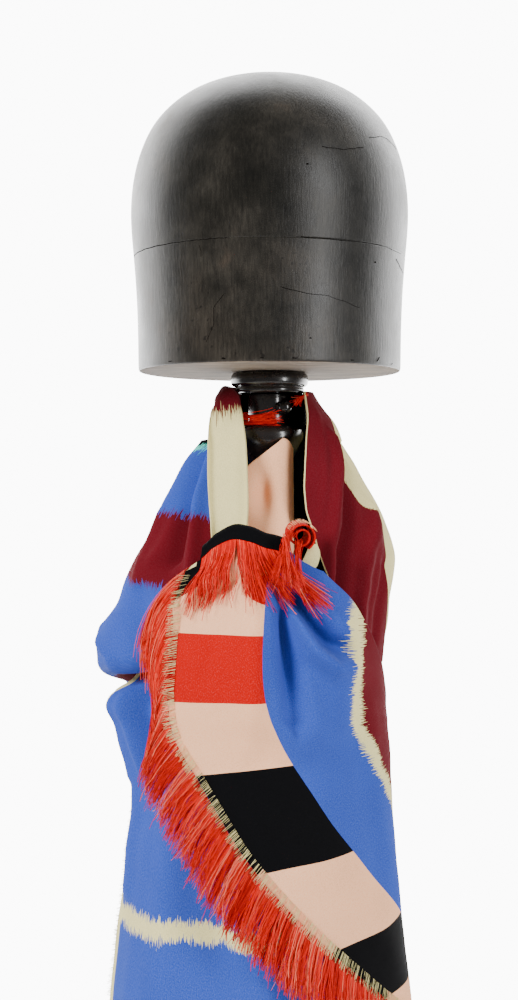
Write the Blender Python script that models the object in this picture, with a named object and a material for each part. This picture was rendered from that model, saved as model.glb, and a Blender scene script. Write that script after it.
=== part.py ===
"""Fringed wool scarf wound round the neck of a wooden hat block on a turned stand.

Lengths in the tables are millimetres, angles are degrees round the post: 0 is the
front (-Y), 90 the right (+X), 180 the back and -90 the left. Blender gets metres.
"""

import math
from collections import namedtuple

import bmesh
import bpy
from mathutils import Vector

MM = 0.001

# The stand and the block
BASE_RADIUS = 150.0
BASE_HEIGHT = 20.0
POST_RADIUS = 11.0
SHAFT_RADIUS = 14.0
SHOULDER_RADIUS = 23.0
SHOULDER_HEIGHT = 690.0
COLLAR_BOTTOM = 718.5
BLOCK_BOTTOM = 732.6
BLOCK_TOP = 926.5
BLOCK_DEPTH_SHARE = 1.10
KNOB_RADIUS = 4.6
KNOB_HEIGHT = 709.0
KNOB_ANGLE = 32.0
GAP = 0.3

# The cloth
WALL = 1.5
FRINGE_LENGTH = 40.0
LOCK_PITCH = 6.2
LOCK_WIDTH = 3.4
LOCK_DEPTH = 1.5
STRIP_HEIGHT = 3.0
EDGE_GAP = 1.0
FOLD_RADIUS = 90.0

Turn = namedtuple("Turn", "radius height")
Section = namedtuple("Section", "height left front right back")
At = namedtuple("At", "angle height")
Fold = namedtuple("Fold", "half_width rise path")
Span = namedtuple("Span", "height first last")
Hem = namedtuple("Hem", "angle height curl")
Rim = namedtuple("Rim", "angle height")
Lean = namedtuple("Lean", "height degrees")
Band = namedtuple("Band", "place x y height width across_x across_y across_z")
Place = namedtuple("Place", "share height")

BLOCK_PROFILE = [
    Turn(0.0, BLOCK_TOP),
    Turn(14.0, 925.8),
    Turn(28.0, 923.6),
    Turn(42.0, 919.6),
    Turn(55.0, 913.6),
    Turn(66.5, 905.0),
    Turn(76.2, 894.5),
    Turn(82.6, 882.5),
    Turn(87.4, 869.0),
    Turn(90.2, 855.0),
    Turn(91.4, 841.0),
    Turn(91.2, 826.0),
    Turn(89.4, 806.0),
    Turn(87.6, 785.0),
    Turn(86.6, 760.0),
    Turn(86.4, 736.0),
    Turn(85.8, BLOCK_BOTTOM),
    Turn(0.0, BLOCK_BOTTOM),
]
COLLAR_PROFILE = [
    Turn(0.0, BLOCK_BOTTOM - GAP),
    Turn(23.5, BLOCK_BOTTOM - GAP),
    Turn(25.6, 730.0),
    Turn(25.6, 725.5),
    Turn(24.0, 723.3),
    Turn(22.4, 722.4),
    Turn(22.9, 720.6),
    Turn(22.0, COLLAR_BOTTOM),
    Turn(0.0, COLLAR_BOTTOM),
]
POST_PROFILE = [
    Turn(0.0, COLLAR_BOTTOM - GAP),
    Turn(SHAFT_RADIUS, COLLAR_BOTTOM - GAP),
    Turn(SHAFT_RADIUS, SHOULDER_HEIGHT + 8.0),
    Turn(SHOULDER_RADIUS - 2.0, SHOULDER_HEIGHT + 6.0),
    Turn(SHOULDER_RADIUS, SHOULDER_HEIGHT + 3.0),
    Turn(SHOULDER_RADIUS, SHOULDER_HEIGHT - 2.0),
    Turn(POST_RADIUS, SHOULDER_HEIGHT - 22.0),
    Turn(POST_RADIUS, 60.0),
    Turn(17.0, 44.0),
    Turn(26.0, 30.0),
    Turn(28.0, BASE_HEIGHT + GAP),
    Turn(0.0, BASE_HEIGHT + GAP),
]
BASE_PROFILE = [
    Turn(0.0, BASE_HEIGHT),
    Turn(BASE_RADIUS - 16.0, BASE_HEIGHT),
    Turn(BASE_RADIUS - 5.0, BASE_HEIGHT - 3.0),
    Turn(BASE_RADIUS, BASE_HEIGHT - 9.0),
    Turn(BASE_RADIUS, 3.0),
    Turn(BASE_RADIUS - 3.0, 0.0),
    Turn(0.0, 0.0),
]

# The back loop, a bell of cloth round the left, the back and the right
LOOP_SPANS = [
    Span(545, -30, -304),
    Span(600, -31, -303),
    Span(620, -32, -302),
    Span(635, -35, -302),
    Span(648, -40, -302),
    Span(662, -48, -302),
    Span(675, -56, -300),
    Span(686, -64, -298),
    Span(709, -78, -290),
]
LOOP_RIM = [
    Rim(-304, 684),
    Rim(-285, 690),
    Rim(-264, 698),
    Rim(-240, 705),
    Rim(-180, 708),
    Rim(-150, 704),
    Rim(-120, 696),
    Rim(-90, 690),
    Rim(-45, 686),
]
LOOP_SECTIONS = [
    Section(708, 31, 20, 31, 29.2),
    Section(700, 34, 22, 37, 39),
    Section(688, 43, 25, 45.5, 45),
    Section(675, 54, 31, 53.5, 57),
    Section(662, 61.5, 39, 60, 66),
    Section(648, 69.5, 46, 68, 76),
    Section(635, 75, 51, 74.5, 82),
    Section(620, 82, 56, 80, 89),
    Section(609, 88.5, 59, 82, 93),
    Section(596, 95, 62, 81, 97),
    Section(582, 99.5, 65, 78.5, 100),
    Section(569, 109, 67, 77.5, 103),
    Section(556, 114, 69, 75.5, 105),
    Section(545, 113, 70, 74, 106),
    Section(520, 112, 70, 73, 108),
    Section(480, 108, 70, 73, 107),
]
LOOP_HEM = [
    Hem(-304, 540, 0.0),
    Hem(-280, 518, 0.05),
    Hem(-262, 503, 0.05),
    Hem(-240, 498, 0.35),
    Hem(-210, 492, 0.9),
    Hem(-180, 488, 1.0),
    Hem(-150, 505, 1.0),
    Hem(-120, 530, 1.0),
    Hem(-90, 545, 1.0),
    Hem(-75, 549, 0.8),
    Hem(-60, 558, 0.45),
    Hem(-30, 568, 0.2),
]
LOOP_FIRST = -38.0
LOOP_TURN = 264.0
LOOP_BODY = 0.8
CURL_TURN = 200.0
CURL_ARC = 35.0
STRAIGHT_ARC = 12.0
LOOP_FOLDS = [
    Fold(7, 4, [At(-66, 690), At(-56, 665), At(-50, 640), At(-44, 610), At(-40, 575)]),
    Fold(8, -7, [At(-76, 692), At(-65, 665), At(-60, 640), At(-56, 612)]),
    Fold(9, 3, [At(-84, 690), At(-76, 650), At(-70, 600)]),
    Fold(9, -4, [At(-70, 590), At(-62, 572), At(-54, 556)]),
    Fold(13, -6, [At(-104, 700), At(-104, 620), At(-106, 520)]),
    Fold(12, 6, [At(-124, 704), At(-128, 600), At(-128, 500)]),
    Fold(13, -7, [At(-146, 706), At(-150, 600), At(-150, 490)]),
    Fold(13, 7, [At(-168, 708), At(-173, 600), At(-174, 480)]),
    Fold(12, -8, [At(-190, 708), At(-194, 600), At(-195, 480)]),
    Fold(13, 6, [At(-212, 708), At(-214, 600), At(-214, 480)]),
    Fold(12, -6, [At(-232, 708), At(-236, 600), At(-234, 500)]),
    Fold(12, 4, [At(-254, 696), At(-256, 640), At(-252, 580)]),
]

# The right strand, a fan of cloth from the neck over the right side
FAN_TOP = 719.0
FAN_SWING = 45.0
FAN_SPANS = [
    Span(545, 31, 70),
    Span(580, 29, 68),
    Span(600, 28, 66),
    Span(622, 26, 66),
    Span(634, 25, 66),
    Span(643, 24, 66),
    Span(655, 25.5, 66),
    Span(669, 30, 67),
    Span(679, 36, 69),
    Span(688, 40, 72),
    Span(700, 44, 86),
    Span(712, 52, 112),
    Span(719, 80, 122),
]
FAN_HEM = [Rim(20, 570), Rim(45, 552), Rim(60, 550), Rim(110, 556)]
FAN_SECTIONS = [
    Section(719, 27, 28.5, 28.5, 28.5),
    Section(712, 29, 30, 32.5, 30),
    Section(700, 33, 32.5, 41.8, 36),
    Section(688, 38, 37, 51, 45),
    Section(675, 43, 44, 57.5, 50),
    Section(662, 49, 50, 64, 56),
    Section(648, 54, 55, 72, 60),
    Section(635, 58, 59, 79, 64),
    Section(620, 62, 63, 84.5, 68),
    Section(609, 66, 67, 86, 70),
    Section(596, 70, 70.5, 85.5, 72),
    Section(582, 73, 73, 83, 74),
    Section(569, 75, 75, 81, 74),
    Section(556, 76, 76, 77, 74),
    Section(543, 76, 76, 74, 72),
]
FAN_FOLDS = [
    Fold(6, 5, [At(62, 690), At(54, 669), At(47, 658), At(41, 644), At(33, 620), At(28, 590)]),
    Fold(5.5, -5, [At(68, 682), At(58, 666), At(51, 652), At(46, 632), At(38, 614), At(34, 595)]),
    Fold(6, 5, [At(67, 646), At(60, 628), At(54, 617), At(49, 602), At(46, 585), At(44, 556)]),
    Fold(5, -3, [At(64, 606), At(58, 580), At(56, 556)]),
]

# The left strand, a flat gathered band from the neck down to the rolled neckline
LEFT_BAND = [
    Band(0, -18.0, 22.5, 714, 14, -0.10, 0.10, -1.0),
    Band(1, -26.5, 15.0, 716, 15, -0.20, 0.05, -1.0),
    Band(2, -31.5, 3.5, 714.5, 18, -0.40, -0.20, -0.90),
    Band(3, -31.0, -9.0, 707, 21, -0.80, -0.25, -0.50),
    Band(4, -29.5, -22.0, 694, 22, -0.95, 0.10, -0.25),
    Band(5, -28.0, -34.0, 679, 23, -0.98, 0.12, -0.05),
    Band(6, -26.5, -43.0, 664, 24.5, -0.98, 0.12, 0.0),
    Band(7, -25.5, -52.0, 649, 24, -0.98, 0.14, 0.0),
    Band(8, -24.5, -60.0, 635, 23, -0.98, 0.16, 0.0),
    Band(9, -24.0, -67.0, 621, 21, -0.98, 0.18, 0.0),
]
BAND_BULGE = 3.6
BAND_BOW_FIRST = -112.0
BAND_BOW = 214.0

# The wrap behind the shaft, which carries both strands
WRAP_RADIUS = 24.0
WRAP_LAST = 215.2
WRAP_START = 2.0
WRAP_TOP = 720.5
WRAP_BOTTOM = 706.0
WRAP_BOW = 1.6

# The inner fold that shows between the strands
Peak = namedtuple("Peak", "x height")
INNER_CREST = [
    Peak(-21, 662),
    Peak(-13, 671.5),
    Peak(-4, 678.5),
    Peak(5, 685.5),
    Peak(9, 688.5),
    Peak(12, 687),
    Peak(15, 682),
]
INNER_FOOT = 603.0
INNER_HOLLOW = 4.0
INNER_HOLLOW_X = -4.0
INNER_HOLLOW_WIDTH = 6.0
INNER_TURN_BACK = 5.0
Depth = namedtuple("Depth", "height y")
INNER_DEPTH = [
    Depth(600, -63),
    Depth(615, -57),
    Depth(630, -49),
    Depth(650, -38),
    Depth(670, -29),
    Depth(690, -22.7),
]

# The front tail, from the rolled neckline to the hanging corner at the back right
TAIL_TOP = 631.0
TAIL_LEVEL = 605.0
TAIL_FOOT = 168.0
TAIL_CROWDING = 1.25
TAIL_CREST = [
    Rim(-34, 608),
    Rim(-27, 616.0),
    Rim(-23, 622.0),
    Rim(-14.5, 627.3),
    Rim(-7.7, 625.5),
    Rim(-1.8, 622.0),
    Rim(2, 620.8),
    Rim(6, 619.0),
    Rim(10, 615.5),
    Rim(14, 611.0),
]
TAIL_SPANS = [
    Span(168, 143, 152),
    Span(200, 129, 152),
    Span(240, 110, 151),
    Span(280, 90, 150),
    Span(318, 66, 150),
    Span(343, 46, 150),
    Span(374, 23.5, 150),
    Span(404, 5, 150),
    Span(435, -11, 150),
    Span(465, -22.5, 146),
    Span(480, -28, 135),
    Span(490, -32, 123),
    Span(505, -36.5, 102),
    Span(516, -37.5, 86),
    Span(530, -37.5, 69),
    Span(553, -37, 53),
    Span(575, -37, 40),
    Span(587, -37, 34),
    Span(605, -36, 22),
    Span(631, -34, 14),
]
TAIL_SECTIONS = [
    Section(168, 100, 98, 103, 98),
    Section(280, 98, 95, 99, 95),
    Section(345, 98, 92, 91, 93),
    Section(371, 98, 91, 88, 91),
    Section(411, 98, 91, 84, 91),
    Section(450, 102, 91.5, 81, 89),
    Section(477, 105, 93, 79.5, 87),
    Section(503, 108, 95, 77.5, 86),
    Section(516, 109, 97, 76, 84),
    Section(530, 110, 98, 76.5, 84),
    Section(553, 110, 97, 80, 80),
    Section(575, 106, 94, 84, 76),
    Section(594, 100, 89, 84, 72),
    Section(619, 86, 81, 77, 66),
    Section(631, 82, 77, 72, 60),
]
TAIL_FOLDS = [
    Fold(11, 4, [At(-7, 598), At(-5.5, 564), At(-5.5, 533)]),
    Fold(5.5, -9, [At(4.5, 590), At(4.5, 575), At(6.5, 545), At(7, 532)]),
    Fold(6, -7, [At(8, 591), At(13, 581), At(18, 569), At(23, 560), At(27, 557)]),
    Fold(8, 4, [At(8, 576), At(13, 565), At(18, 552), At(24, 543)]),
    Fold(13, 4, [At(22, 595), At(28, 576), At(31, 545), At(29, 512)]),
    Fold(5, 4, [At(-36, 582), At(-28.3, 598), At(-20.5, 606), At(-11, 612), At(-4, 610)]),
    Fold(5, -3, [At(-31, 582), At(-22, 595), At(-14, 600)]),
    Fold(12, 3, [At(-22, 560), At(-26, 520)]),
    Fold(12, -2.5, [At(-12, 500), At(10, 489), At(30, 496)]),
    Fold(18, 4, [At(60, 520), At(62, 420), At(66, 330)]),
    Fold(14, -5, [At(86, 480), At(90, 330), At(96, 230)]),
    Fold(14, 6, [At(112, 470), At(112, 300), At(117, 200)]),
    Fold(14, -5, [At(134, 440), At(134, 300), At(138, 190)]),
    Fold(16, 3, [At(20, 460), At(44, 400), At(66, 335)]),
]

# The under tail, behind the front tail and down the left side
UNDER_RIM = [Rim(-90, 555), Rim(-55, 541), Rim(-10, 518), Rim(40, 495), Rim(80, 480)]
UNDER_FOOT = 130.0
UNDER_FIRST = -86.0
UNDER_LAST = 82.0
UNDER_CROWDING = 1.2
UNDER_SECTIONS = [
    Section(130, 116, 90, 92, 90),
    Section(250, 110, 84, 87, 88),
    Section(320, 105, 80, 83, 84),
    Section(345, 102.5, 79, 81, 83),
    Section(371, 99.3, 77, 82.3, 82),
    Section(398, 95.3, 76, 80.8, 80),
    Section(424, 92.7, 75, 78.8, 78),
    Section(450, 88.7, 74, 72, 76),
    Section(464, 88.3, 73.5, 72, 75),
    Section(477, 90.7, 73, 71, 74),
    Section(490, 95.0, 72, 70, 72),
    Section(503, 98.5, 71, 69, 71),
    Section(515, 104.5, 67, 69, 70),
    Section(523, 102, 63, 68, 68),
    Section(531, 90, 60, 66, 66),
    Section(540, 84, 56, 64, 64),
    Section(556, 80, 52, 60, 60),
]
UNDER_FOLDS = [
    Fold(9, -6, [At(-64, 524), At(-61, 500), At(-58, 470)]),
    Fold(9, 4, [At(-77, 516), At(-76, 470), At(-75, 400)]),
    Fold(16, 4, [At(-46, 480), At(-52, 330), At(-54, 130)]),
    Fold(16, -5, [At(-26, 470), At(-28, 330), At(-30, 130)]),
    Fold(17, 5, [At(-4, 440), At(-3, 300), At(-2, 130)]),
    Fold(16, -5, [At(20, 430), At(22, 300), At(24, 130)]),
    Fold(17, 4, [At(46, 420), At(47, 300), At(48, 130)]),
    Fold(15, -4, [At(72, 420), At(72, 300), At(74, 130)]),
]

# The rolled neckline, a turned edge that hooks over the top of the front tail
LIP_FIRST = -28.0
LIP_LAST = 6.8
LIP_ROLL = 3.9
LIP_DROP = 5.0
LIP_LIFT = 6.5
LIP_OUT = 1.8
LIP_TURN_FIRST = -85.0
LIP_TURN = 175.0
LIP_TURN_SHARE = 0.75
LIP_FLARE = 0.35
LIP_FRINGE_SHARE = 0.75
LIP_FRINGE_SWEEP = 14.0
LIP_FRINGE_OUT = 5.4

# The rolled corner at the neckline's right end, and the tip of cloth that hangs from it
CORNER_CENTRE = Vector((17.6, -80.0, 627.6))
CORNER_AXIS = Vector((0.18, -0.97, -0.12)).normalized()
CORNER_RADIUS = 8.0
CORNER_LENGTH = 18.0
CORNER_TURN_FIRST = -30.0
CORNER_TURN = 310.0
CORNER_TIGHTER = 2.0
Tip = namedtuple("Tip", "height left right")
CORNER_TIP = [
    Tip(623, 24.6, 28.0),
    Tip(616, 22.0, 30.5),
    Tip(609.5, 19.0, 29.3),
    Tip(601, 17.5, 20.5),
]
TIP_RADIUS = 78.3
TIP_BOW = 1.2

# The three runs of fringe
EDGE_FRINGE_TOP = 610.0
EDGE_FRINGE_RUN = 540.0
NECKLINE_FRINGE_RUN = 44.0
NECKLINE_PITCH = 4.4
HEM_FRINGE_RUN = 320.0

# How steeply the fringe falls from the front tail's edge, in degrees below level
EDGE_LEAN = [
    Lean(612, 24),
    Lean(557, 38),
    Lean(505, 42),
    Lean(465, 44),
    Lean(404, 48),
    Lean(343, 56),
    Lean(280, 66),
    Lean(168, 78),
]


def share_of(value, low, high):
    return max(0.0, min(1.0, (value - low) / (high - low)))


def reading(rows, key, column, at):
    """A column's value between rows, on a cubic that keeps each row's value."""
    rows = sorted(rows, key=lambda row: getattr(row, key))
    keys = [getattr(row, key) for row in rows]
    values = [getattr(row, column) for row in rows]
    at = max(keys[0], min(keys[-1], at))
    i = max(0, min(len(rows) - 2, sum(k <= at for k in keys) - 1))
    rises = [
        (values[n + 1] - values[n]) / (keys[n + 1] - keys[n]) for n in range(len(rows) - 1)
    ]

    def slope(n):
        if n == 0 or n == len(rows) - 1:
            return rises[min(n, len(rises) - 1)]
        before, after = rises[n - 1], rises[n]
        return 0.0 if before * after <= 0 else 2.0 * before * after / (before + after)

    width = keys[i + 1] - keys[i]
    t = (at - keys[i]) / width
    return (
        values[i] * (1 + 2 * t) * (1 - t) ** 2
        + slope(i) * width * t * (1 - t) ** 2
        + values[i + 1] * t * t * (3 - 2 * t)
        + slope(i + 1) * width * t * t * (t - 1)
    )


def polar(angle, radius, height):
    turn = math.radians(angle)
    return Vector((radius * math.sin(turn), -radius * math.cos(turn), height))


def oval(sections, angle, height):
    """The radius of the oval section at this height, in this direction."""
    across, along = math.sin(math.radians(angle)), math.cos(math.radians(angle))
    side = reading(sections, "height", "right" if across > 0 else "left", height)
    end = reading(sections, "height", "front" if along > 0 else "back", height)
    return 1.0 / math.hypot(across / side, along / end)


def aside(angle, height, path):
    """How far this place on the cloth lies from a fold's line, at the folds' radius."""
    nearest = 1e9
    scale = math.radians(1.0) * FOLD_RADIUS
    for start, end in zip(path, path[1:]):
        run = Vector(((end.angle - start.angle) * scale, end.height - start.height))
        reach = Vector(((angle - start.angle) * scale, height - start.height))
        along = max(0.0, min(1.0, reach.dot(run) / run.dot(run)))
        nearest = min(nearest, (reach - run * along).length)
    return nearest


def raised(folds, angle, height, radius):
    """How far the folds lift the cloth here; they grow shallow where it is gathered."""
    lift = 0.0
    for fold in folds:
        lift += fold.rise * math.exp(-((aside(angle, height, fold.path) / fold.half_width) ** 2))
    return lift * min(1.0, radius / 80.0)


def curled(share, curl):
    """How far inward and down the hem has come, on an arc that curl winds up."""
    turn = math.radians(CURL_TURN * max(curl, 0.01))
    radius = (STRAIGHT_ARC + (CURL_ARC - STRAIGHT_ARC) * curl) / turn
    return radius * (1.0 - math.cos(turn * share)), radius * math.sin(turn * share)


def loop_point(across, down):
    """The back loop: down to the hem, and then round the curl that turns it under."""
    level = min(1.0, down / LOOP_BODY)
    rough = LOOP_FIRST - LOOP_TURN * across
    rim = reading(LOOP_RIM, "angle", "height", rough)
    hem = reading(LOOP_HEM, "angle", "height", rough)
    height = rim + (hem - rim) * level
    first = reading(LOOP_SPANS, "height", "first", height)
    last = reading(LOOP_SPANS, "height", "last", height)
    angle = first + (last - first) * across
    radius = oval(LOOP_SECTIONS, angle, height)
    radius += raised(LOOP_FOLDS, angle, height, radius)
    curl = reading(LOOP_HEM, "angle", "curl", rough)
    inward, lower = curled(share_of(down, LOOP_BODY, 1.0), curl)
    return polar(angle, radius - inward, height - lower)


def fan_point(across, down):
    top_first = reading(FAN_SPANS, "height", "first", FAN_TOP)
    top_last = reading(FAN_SPANS, "height", "last", FAN_TOP)
    rough = top_first + (top_last - top_first) * across
    foot = reading(FAN_HEM, "angle", "height", rough - FAN_SWING * down)
    height = FAN_TOP + (foot - FAN_TOP) * down
    first = reading(FAN_SPANS, "height", "first", height)
    last = reading(FAN_SPANS, "height", "last", height)
    angle = first + (last - first) * across
    radius = oval(FAN_SECTIONS, angle, height)
    radius += raised(FAN_FOLDS, angle, height, radius)
    return polar(angle, radius, height)


def tail_radius(angle, height):
    radius = oval(TAIL_SECTIONS, angle, height)
    return radius + raised(TAIL_FOLDS, angle, height, radius)


def tail_height(angle, level):
    """The height at a nominal level; over TAIL_LEVEL the rows close up to the crest."""
    if level <= TAIL_LEVEL:
        return level
    crest = reading(TAIL_CREST, "angle", "height", angle)
    return TAIL_LEVEL + (crest - TAIL_LEVEL) * (level - TAIL_LEVEL) / (TAIL_TOP - TAIL_LEVEL)


def tail_point(across, down):
    level = TAIL_TOP + (TAIL_FOOT - TAIL_TOP) * down**TAIL_CROWDING
    first = reading(TAIL_SPANS, "height", "first", level)
    last = reading(TAIL_SPANS, "height", "last", level)
    angle = first + (last - first) * across
    height = tail_height(angle, level)
    return polar(angle, tail_radius(angle, height), height)


def under_radius(angle, height):
    radius = oval(UNDER_SECTIONS, angle, height)
    return radius + raised(UNDER_FOLDS, angle, height, radius)


def under_point(across, down):
    angle = UNDER_FIRST + (UNDER_LAST - UNDER_FIRST) * across
    top = reading(UNDER_RIM, "angle", "height", angle)
    height = top + (UNDER_FOOT - top) * down**UNDER_CROWDING
    return polar(angle, under_radius(angle, height), height)


def band_point(across, down):
    """The left strand: a shallow bow across its width, with both edges turned back."""
    last = LEFT_BAND[-1].place
    place = down * last

    def at(column, where=place):
        return reading(LEFT_BAND, "place", column, where)

    centre = Vector((at("x"), at("y"), at("height")))
    ahead, behind = min(place + 0.4, last), max(place - 0.4, 0.0)
    run = Vector([at(c, ahead) - at(c, behind) for c in ("x", "y", "height")]).normalized()
    side = Vector((at("across_x"), at("across_y"), at("across_z"))).normalized()
    side = (side - run * side.dot(run)).normalized()
    outward = run.cross(side)
    turn = math.radians(BAND_BOW_FIRST + BAND_BOW * across)
    half = 0.5 * at("width")
    return centre + side * (half * math.sin(turn)) + outward * (BAND_BULGE * math.cos(turn))


def wrap_point(across, down):
    """Round the back of the neck, from the right strand's end to the left strand's."""
    height = WRAP_TOP + (WRAP_BOTTOM - WRAP_TOP) * down
    first = reading(FAN_SPANS, "height", "last", height) + WRAP_START
    angle = first + (WRAP_LAST - first) * across
    return polar(angle, WRAP_RADIUS + WRAP_BOW * math.sin(math.pi * down), height)


def inner_point(across, down):
    """The inner fold, whose right edge turns back out of sight."""
    x = INNER_CREST[0].x + (INNER_CREST[-1].x - INNER_CREST[0].x) * across
    crest = reading(INNER_CREST, "x", "height", x)
    height = crest + (INNER_FOOT - crest) * down
    y = reading(INNER_DEPTH, "height", "y", height)
    beside = (x - INNER_HOLLOW_X) / INNER_HOLLOW_WIDTH
    hollow = INNER_HOLLOW * math.exp(-(beside**2)) * math.sin(math.pi * down)
    back = INNER_TURN_BACK * share_of(x, 10.0, INNER_CREST[-1].x) ** 2
    return Vector((x, y + 0.008 * x * x + hollow + back, height))


def lip_point(across, down):
    """The turned edge: up behind the front tail, over its top and a little way down."""
    angle = LIP_FIRST + (LIP_LAST - LIP_FIRST) * across
    crest = reading(TAIL_CREST, "angle", "height", angle) + LIP_LIFT
    radius = tail_radius(angle, crest - LIP_LIFT) + LIP_OUT
    turn = math.radians(LIP_TURN_FIRST + LIP_TURN * min(1.0, down / LIP_TURN_SHARE))
    drop = LIP_DROP * share_of(down, LIP_TURN_SHARE, 1.0)
    radius += LIP_ROLL * math.sin(turn) + LIP_FLARE * drop
    height = crest - LIP_ROLL + LIP_ROLL * math.cos(turn) - drop
    return polar(angle, radius, height)


def corner_point(across, down):
    """A loose roll, seen from its end, whose radius shrinks a little as it winds."""
    rightward = Vector((0, 0, 1)).cross(CORNER_AXIS).normalized()
    upward = CORNER_AXIS.cross(rightward)
    turn = math.radians(CORNER_TURN_FIRST + CORNER_TURN * across)
    radius = CORNER_RADIUS - CORNER_TIGHTER * across
    return (
        CORNER_CENTRE
        + CORNER_AXIS * (CORNER_LENGTH * (0.5 - down))
        + rightward * (radius * math.cos(turn))
        + upward * (radius * math.sin(turn))
    )


def tip_point(across, down):
    height = CORNER_TIP[0].height + (CORNER_TIP[-1].height - CORNER_TIP[0].height) * down
    left = reading(CORNER_TIP, "height", "left", height)
    right = reading(CORNER_TIP, "height", "right", height)
    x = left + (right - left) * across
    bow = TIP_BOW * math.sin(math.pi * across)
    return Vector((x, -math.sqrt((TIP_RADIUS + bow) ** 2 - x * x), height))


def material(name, colour, roughness, metallic=0.0):
    made = bpy.data.materials.new(name)
    made.use_nodes = True
    shader = made.node_tree.nodes["Principled BSDF"]
    shader.inputs["Base Color"].default_value = (*colour, 1.0)
    shader.inputs["Roughness"].default_value = roughness
    shader.inputs["Metallic"].default_value = metallic
    return made


def add_object(name, mesh, finish):
    made = bpy.data.objects.new(name, mesh)
    bpy.context.scene.collection.objects.link(made)
    mesh.materials.append(finish)
    mesh.shade_smooth()
    mesh.set_sharp_from_angle(angle=math.radians(40))
    return made


def turned(name, profile, steps, finish, depth_share=1.0):
    """A solid turned on the post's axis, made oval by its depth share."""
    shape = bmesh.new()
    points = [shape.verts.new((turn.radius * MM, 0, turn.height * MM)) for turn in profile]
    edges = [shape.edges.new(pair) for pair in zip(points, points[1:])]
    bmesh.ops.spin(
        shape,
        geom=points + edges,
        cent=(0, 0, 0),
        axis=(0, 0, 1),
        angle=math.tau,
        steps=steps,
        use_merge=True,
    )
    bmesh.ops.remove_doubles(shape, verts=shape.verts, dist=1e-6)
    bmesh.ops.scale(shape, vec=(1, depth_share, 1), verts=shape.verts)
    bmesh.ops.recalc_face_normals(shape, faces=shape.faces)
    mesh = bpy.data.meshes.new(name)
    shape.to_mesh(mesh)
    shape.free()
    return add_object(name, mesh, finish)


def cloth(name, point, across, down, finish):
    """A cloth wall: a grid over the stretch's own function, given its thickness."""
    shape = bmesh.new()
    rows = [
        [shape.verts.new(point(i / across, j / down) * MM) for i in range(across + 1)]
        for j in range(down + 1)
    ]
    for j in range(down):
        for i in range(across):
            corners = (rows[j][i], rows[j + 1][i], rows[j + 1][i + 1], rows[j][i + 1])
            shape.faces.new(corners)
    mesh = bpy.data.meshes.new(name)
    shape.to_mesh(mesh)
    shape.free()
    made = add_object(name, mesh, finish)
    wall = made.modifiers.new("wall", "SOLIDIFY")
    wall.thickness = WALL * MM
    wall.offset = 0.0
    return made


def fringe(name, root, fall, length, pitch, finish):
    """Locks of fringe whose roots are fused into a narrow strip along the cloth's edge.

    root(share) gives the edge and the way out of the cloth; fall(share, drop) gives
    how far a lock has come from its root when it has fallen that share of its length.
    """
    locks = max(2, round(length / pitch))
    lock_share = LOCK_WIDTH / LOCK_PITCH
    shares = []
    for n in range(locks):
        shares += [(n + 0.5 - lock_share / 2) / locks, (n + 0.5 + lock_share / 2) / locks]
    shape = bmesh.new()
    stations = []
    for share in shares:
        edge, outward = root(share)
        down = fall(share, 0.05).normalized()
        low = edge + down * STRIP_HEIGHT
        corners = [
            edge + outward * (LOCK_DEPTH / 2),
            edge - outward * (LOCK_DEPTH / 2),
            low - outward * (LOCK_DEPTH / 2),
            low + outward * (LOCK_DEPTH / 2),
        ]
        stations.append([shape.verts.new(corner * MM) for corner in corners])
    for before, after in zip(stations, stations[1:]):
        for k in (0, 1, 3):
            shape.faces.new((before[k], before[(k + 1) % 4], after[(k + 1) % 4], after[k]))
    shape.faces.new(stations[0][::-1])
    shape.faces.new(stations[-1])
    for n in range(0, len(stations), 2):
        ring = [stations[n][3], stations[n][2], stations[n + 1][2], stations[n + 1][3]]
        share = 0.5 * (shares[n] + shares[n + 1])
        base = [vert.co.copy() for vert in ring]
        for drop, slim in ((0.5, 0.75), (1.0, 0.45)):
            middle = sum(base, Vector()) / 4
            move = fall(share, drop) * MM
            lower = [shape.verts.new(middle + (co - middle) * slim + move) for co in base]
            for k in range(4):
                shape.faces.new((ring[k], lower[k], lower[(k + 1) % 4], ring[(k + 1) % 4]))
            ring = lower
        shape.faces.new(ring)
    for n in range(1, len(stations) - 1, 2):
        one, two = stations[n], stations[n + 1]
        shape.faces.new((one[3], one[2], two[2], two[3]))
    bmesh.ops.recalc_face_normals(shape, faces=shape.faces)
    mesh = bpy.data.meshes.new(name)
    shape.to_mesh(mesh)
    shape.free()
    return add_object(name, mesh, finish)


def outward_at(angle):
    return polar(angle, 1.0, 0.0)


def edge_places():
    """The share of the edge's length at each height down the front tail's free edge."""
    run = TAIL_FOOT + 7.0 - EDGE_FRINGE_TOP
    heights = [EDGE_FRINGE_TOP + run * n / 120 for n in range(121)]
    points = []
    for height in heights:
        angle = reading(TAIL_SPANS, "height", "first", height)
        points.append(polar(angle, tail_radius(angle, height), height))
    lengths = [0.0]
    for before, after in zip(points, points[1:]):
        lengths.append(lengths[-1] + (after - before).length)
    return [Place(length / lengths[-1], z) for length, z in zip(lengths, heights)]


EDGE_PLACES = edge_places()


def edge_way(height, drop):
    """The fringe's way on the cloth at a drop, as shares of left and of down."""
    lean = math.radians(reading(EDGE_LEAN, "height", "degrees", height) + 10.0 * drop)
    return math.cos(lean), math.sin(lean)


def edge_at(height, reach, drop):
    """A point reach past the free edge, that lies on the front tail's own round."""
    angle = reading(TAIL_SPANS, "height", "first", height)
    left, down = edge_way(height, drop)
    radius = tail_radius(angle, height)
    angle -= math.degrees(left * reach / radius)
    low = height - down * reach
    return polar(angle, max(radius - 1.0, tail_radius(angle, low)) + 1.5 * drop, low)


def edge_root(share):
    height = reading(EDGE_PLACES, "share", "height", share)
    angle = reading(TAIL_SPANS, "height", "first", height)
    return edge_at(height, EDGE_GAP, 0.0), outward_at(angle)


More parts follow.
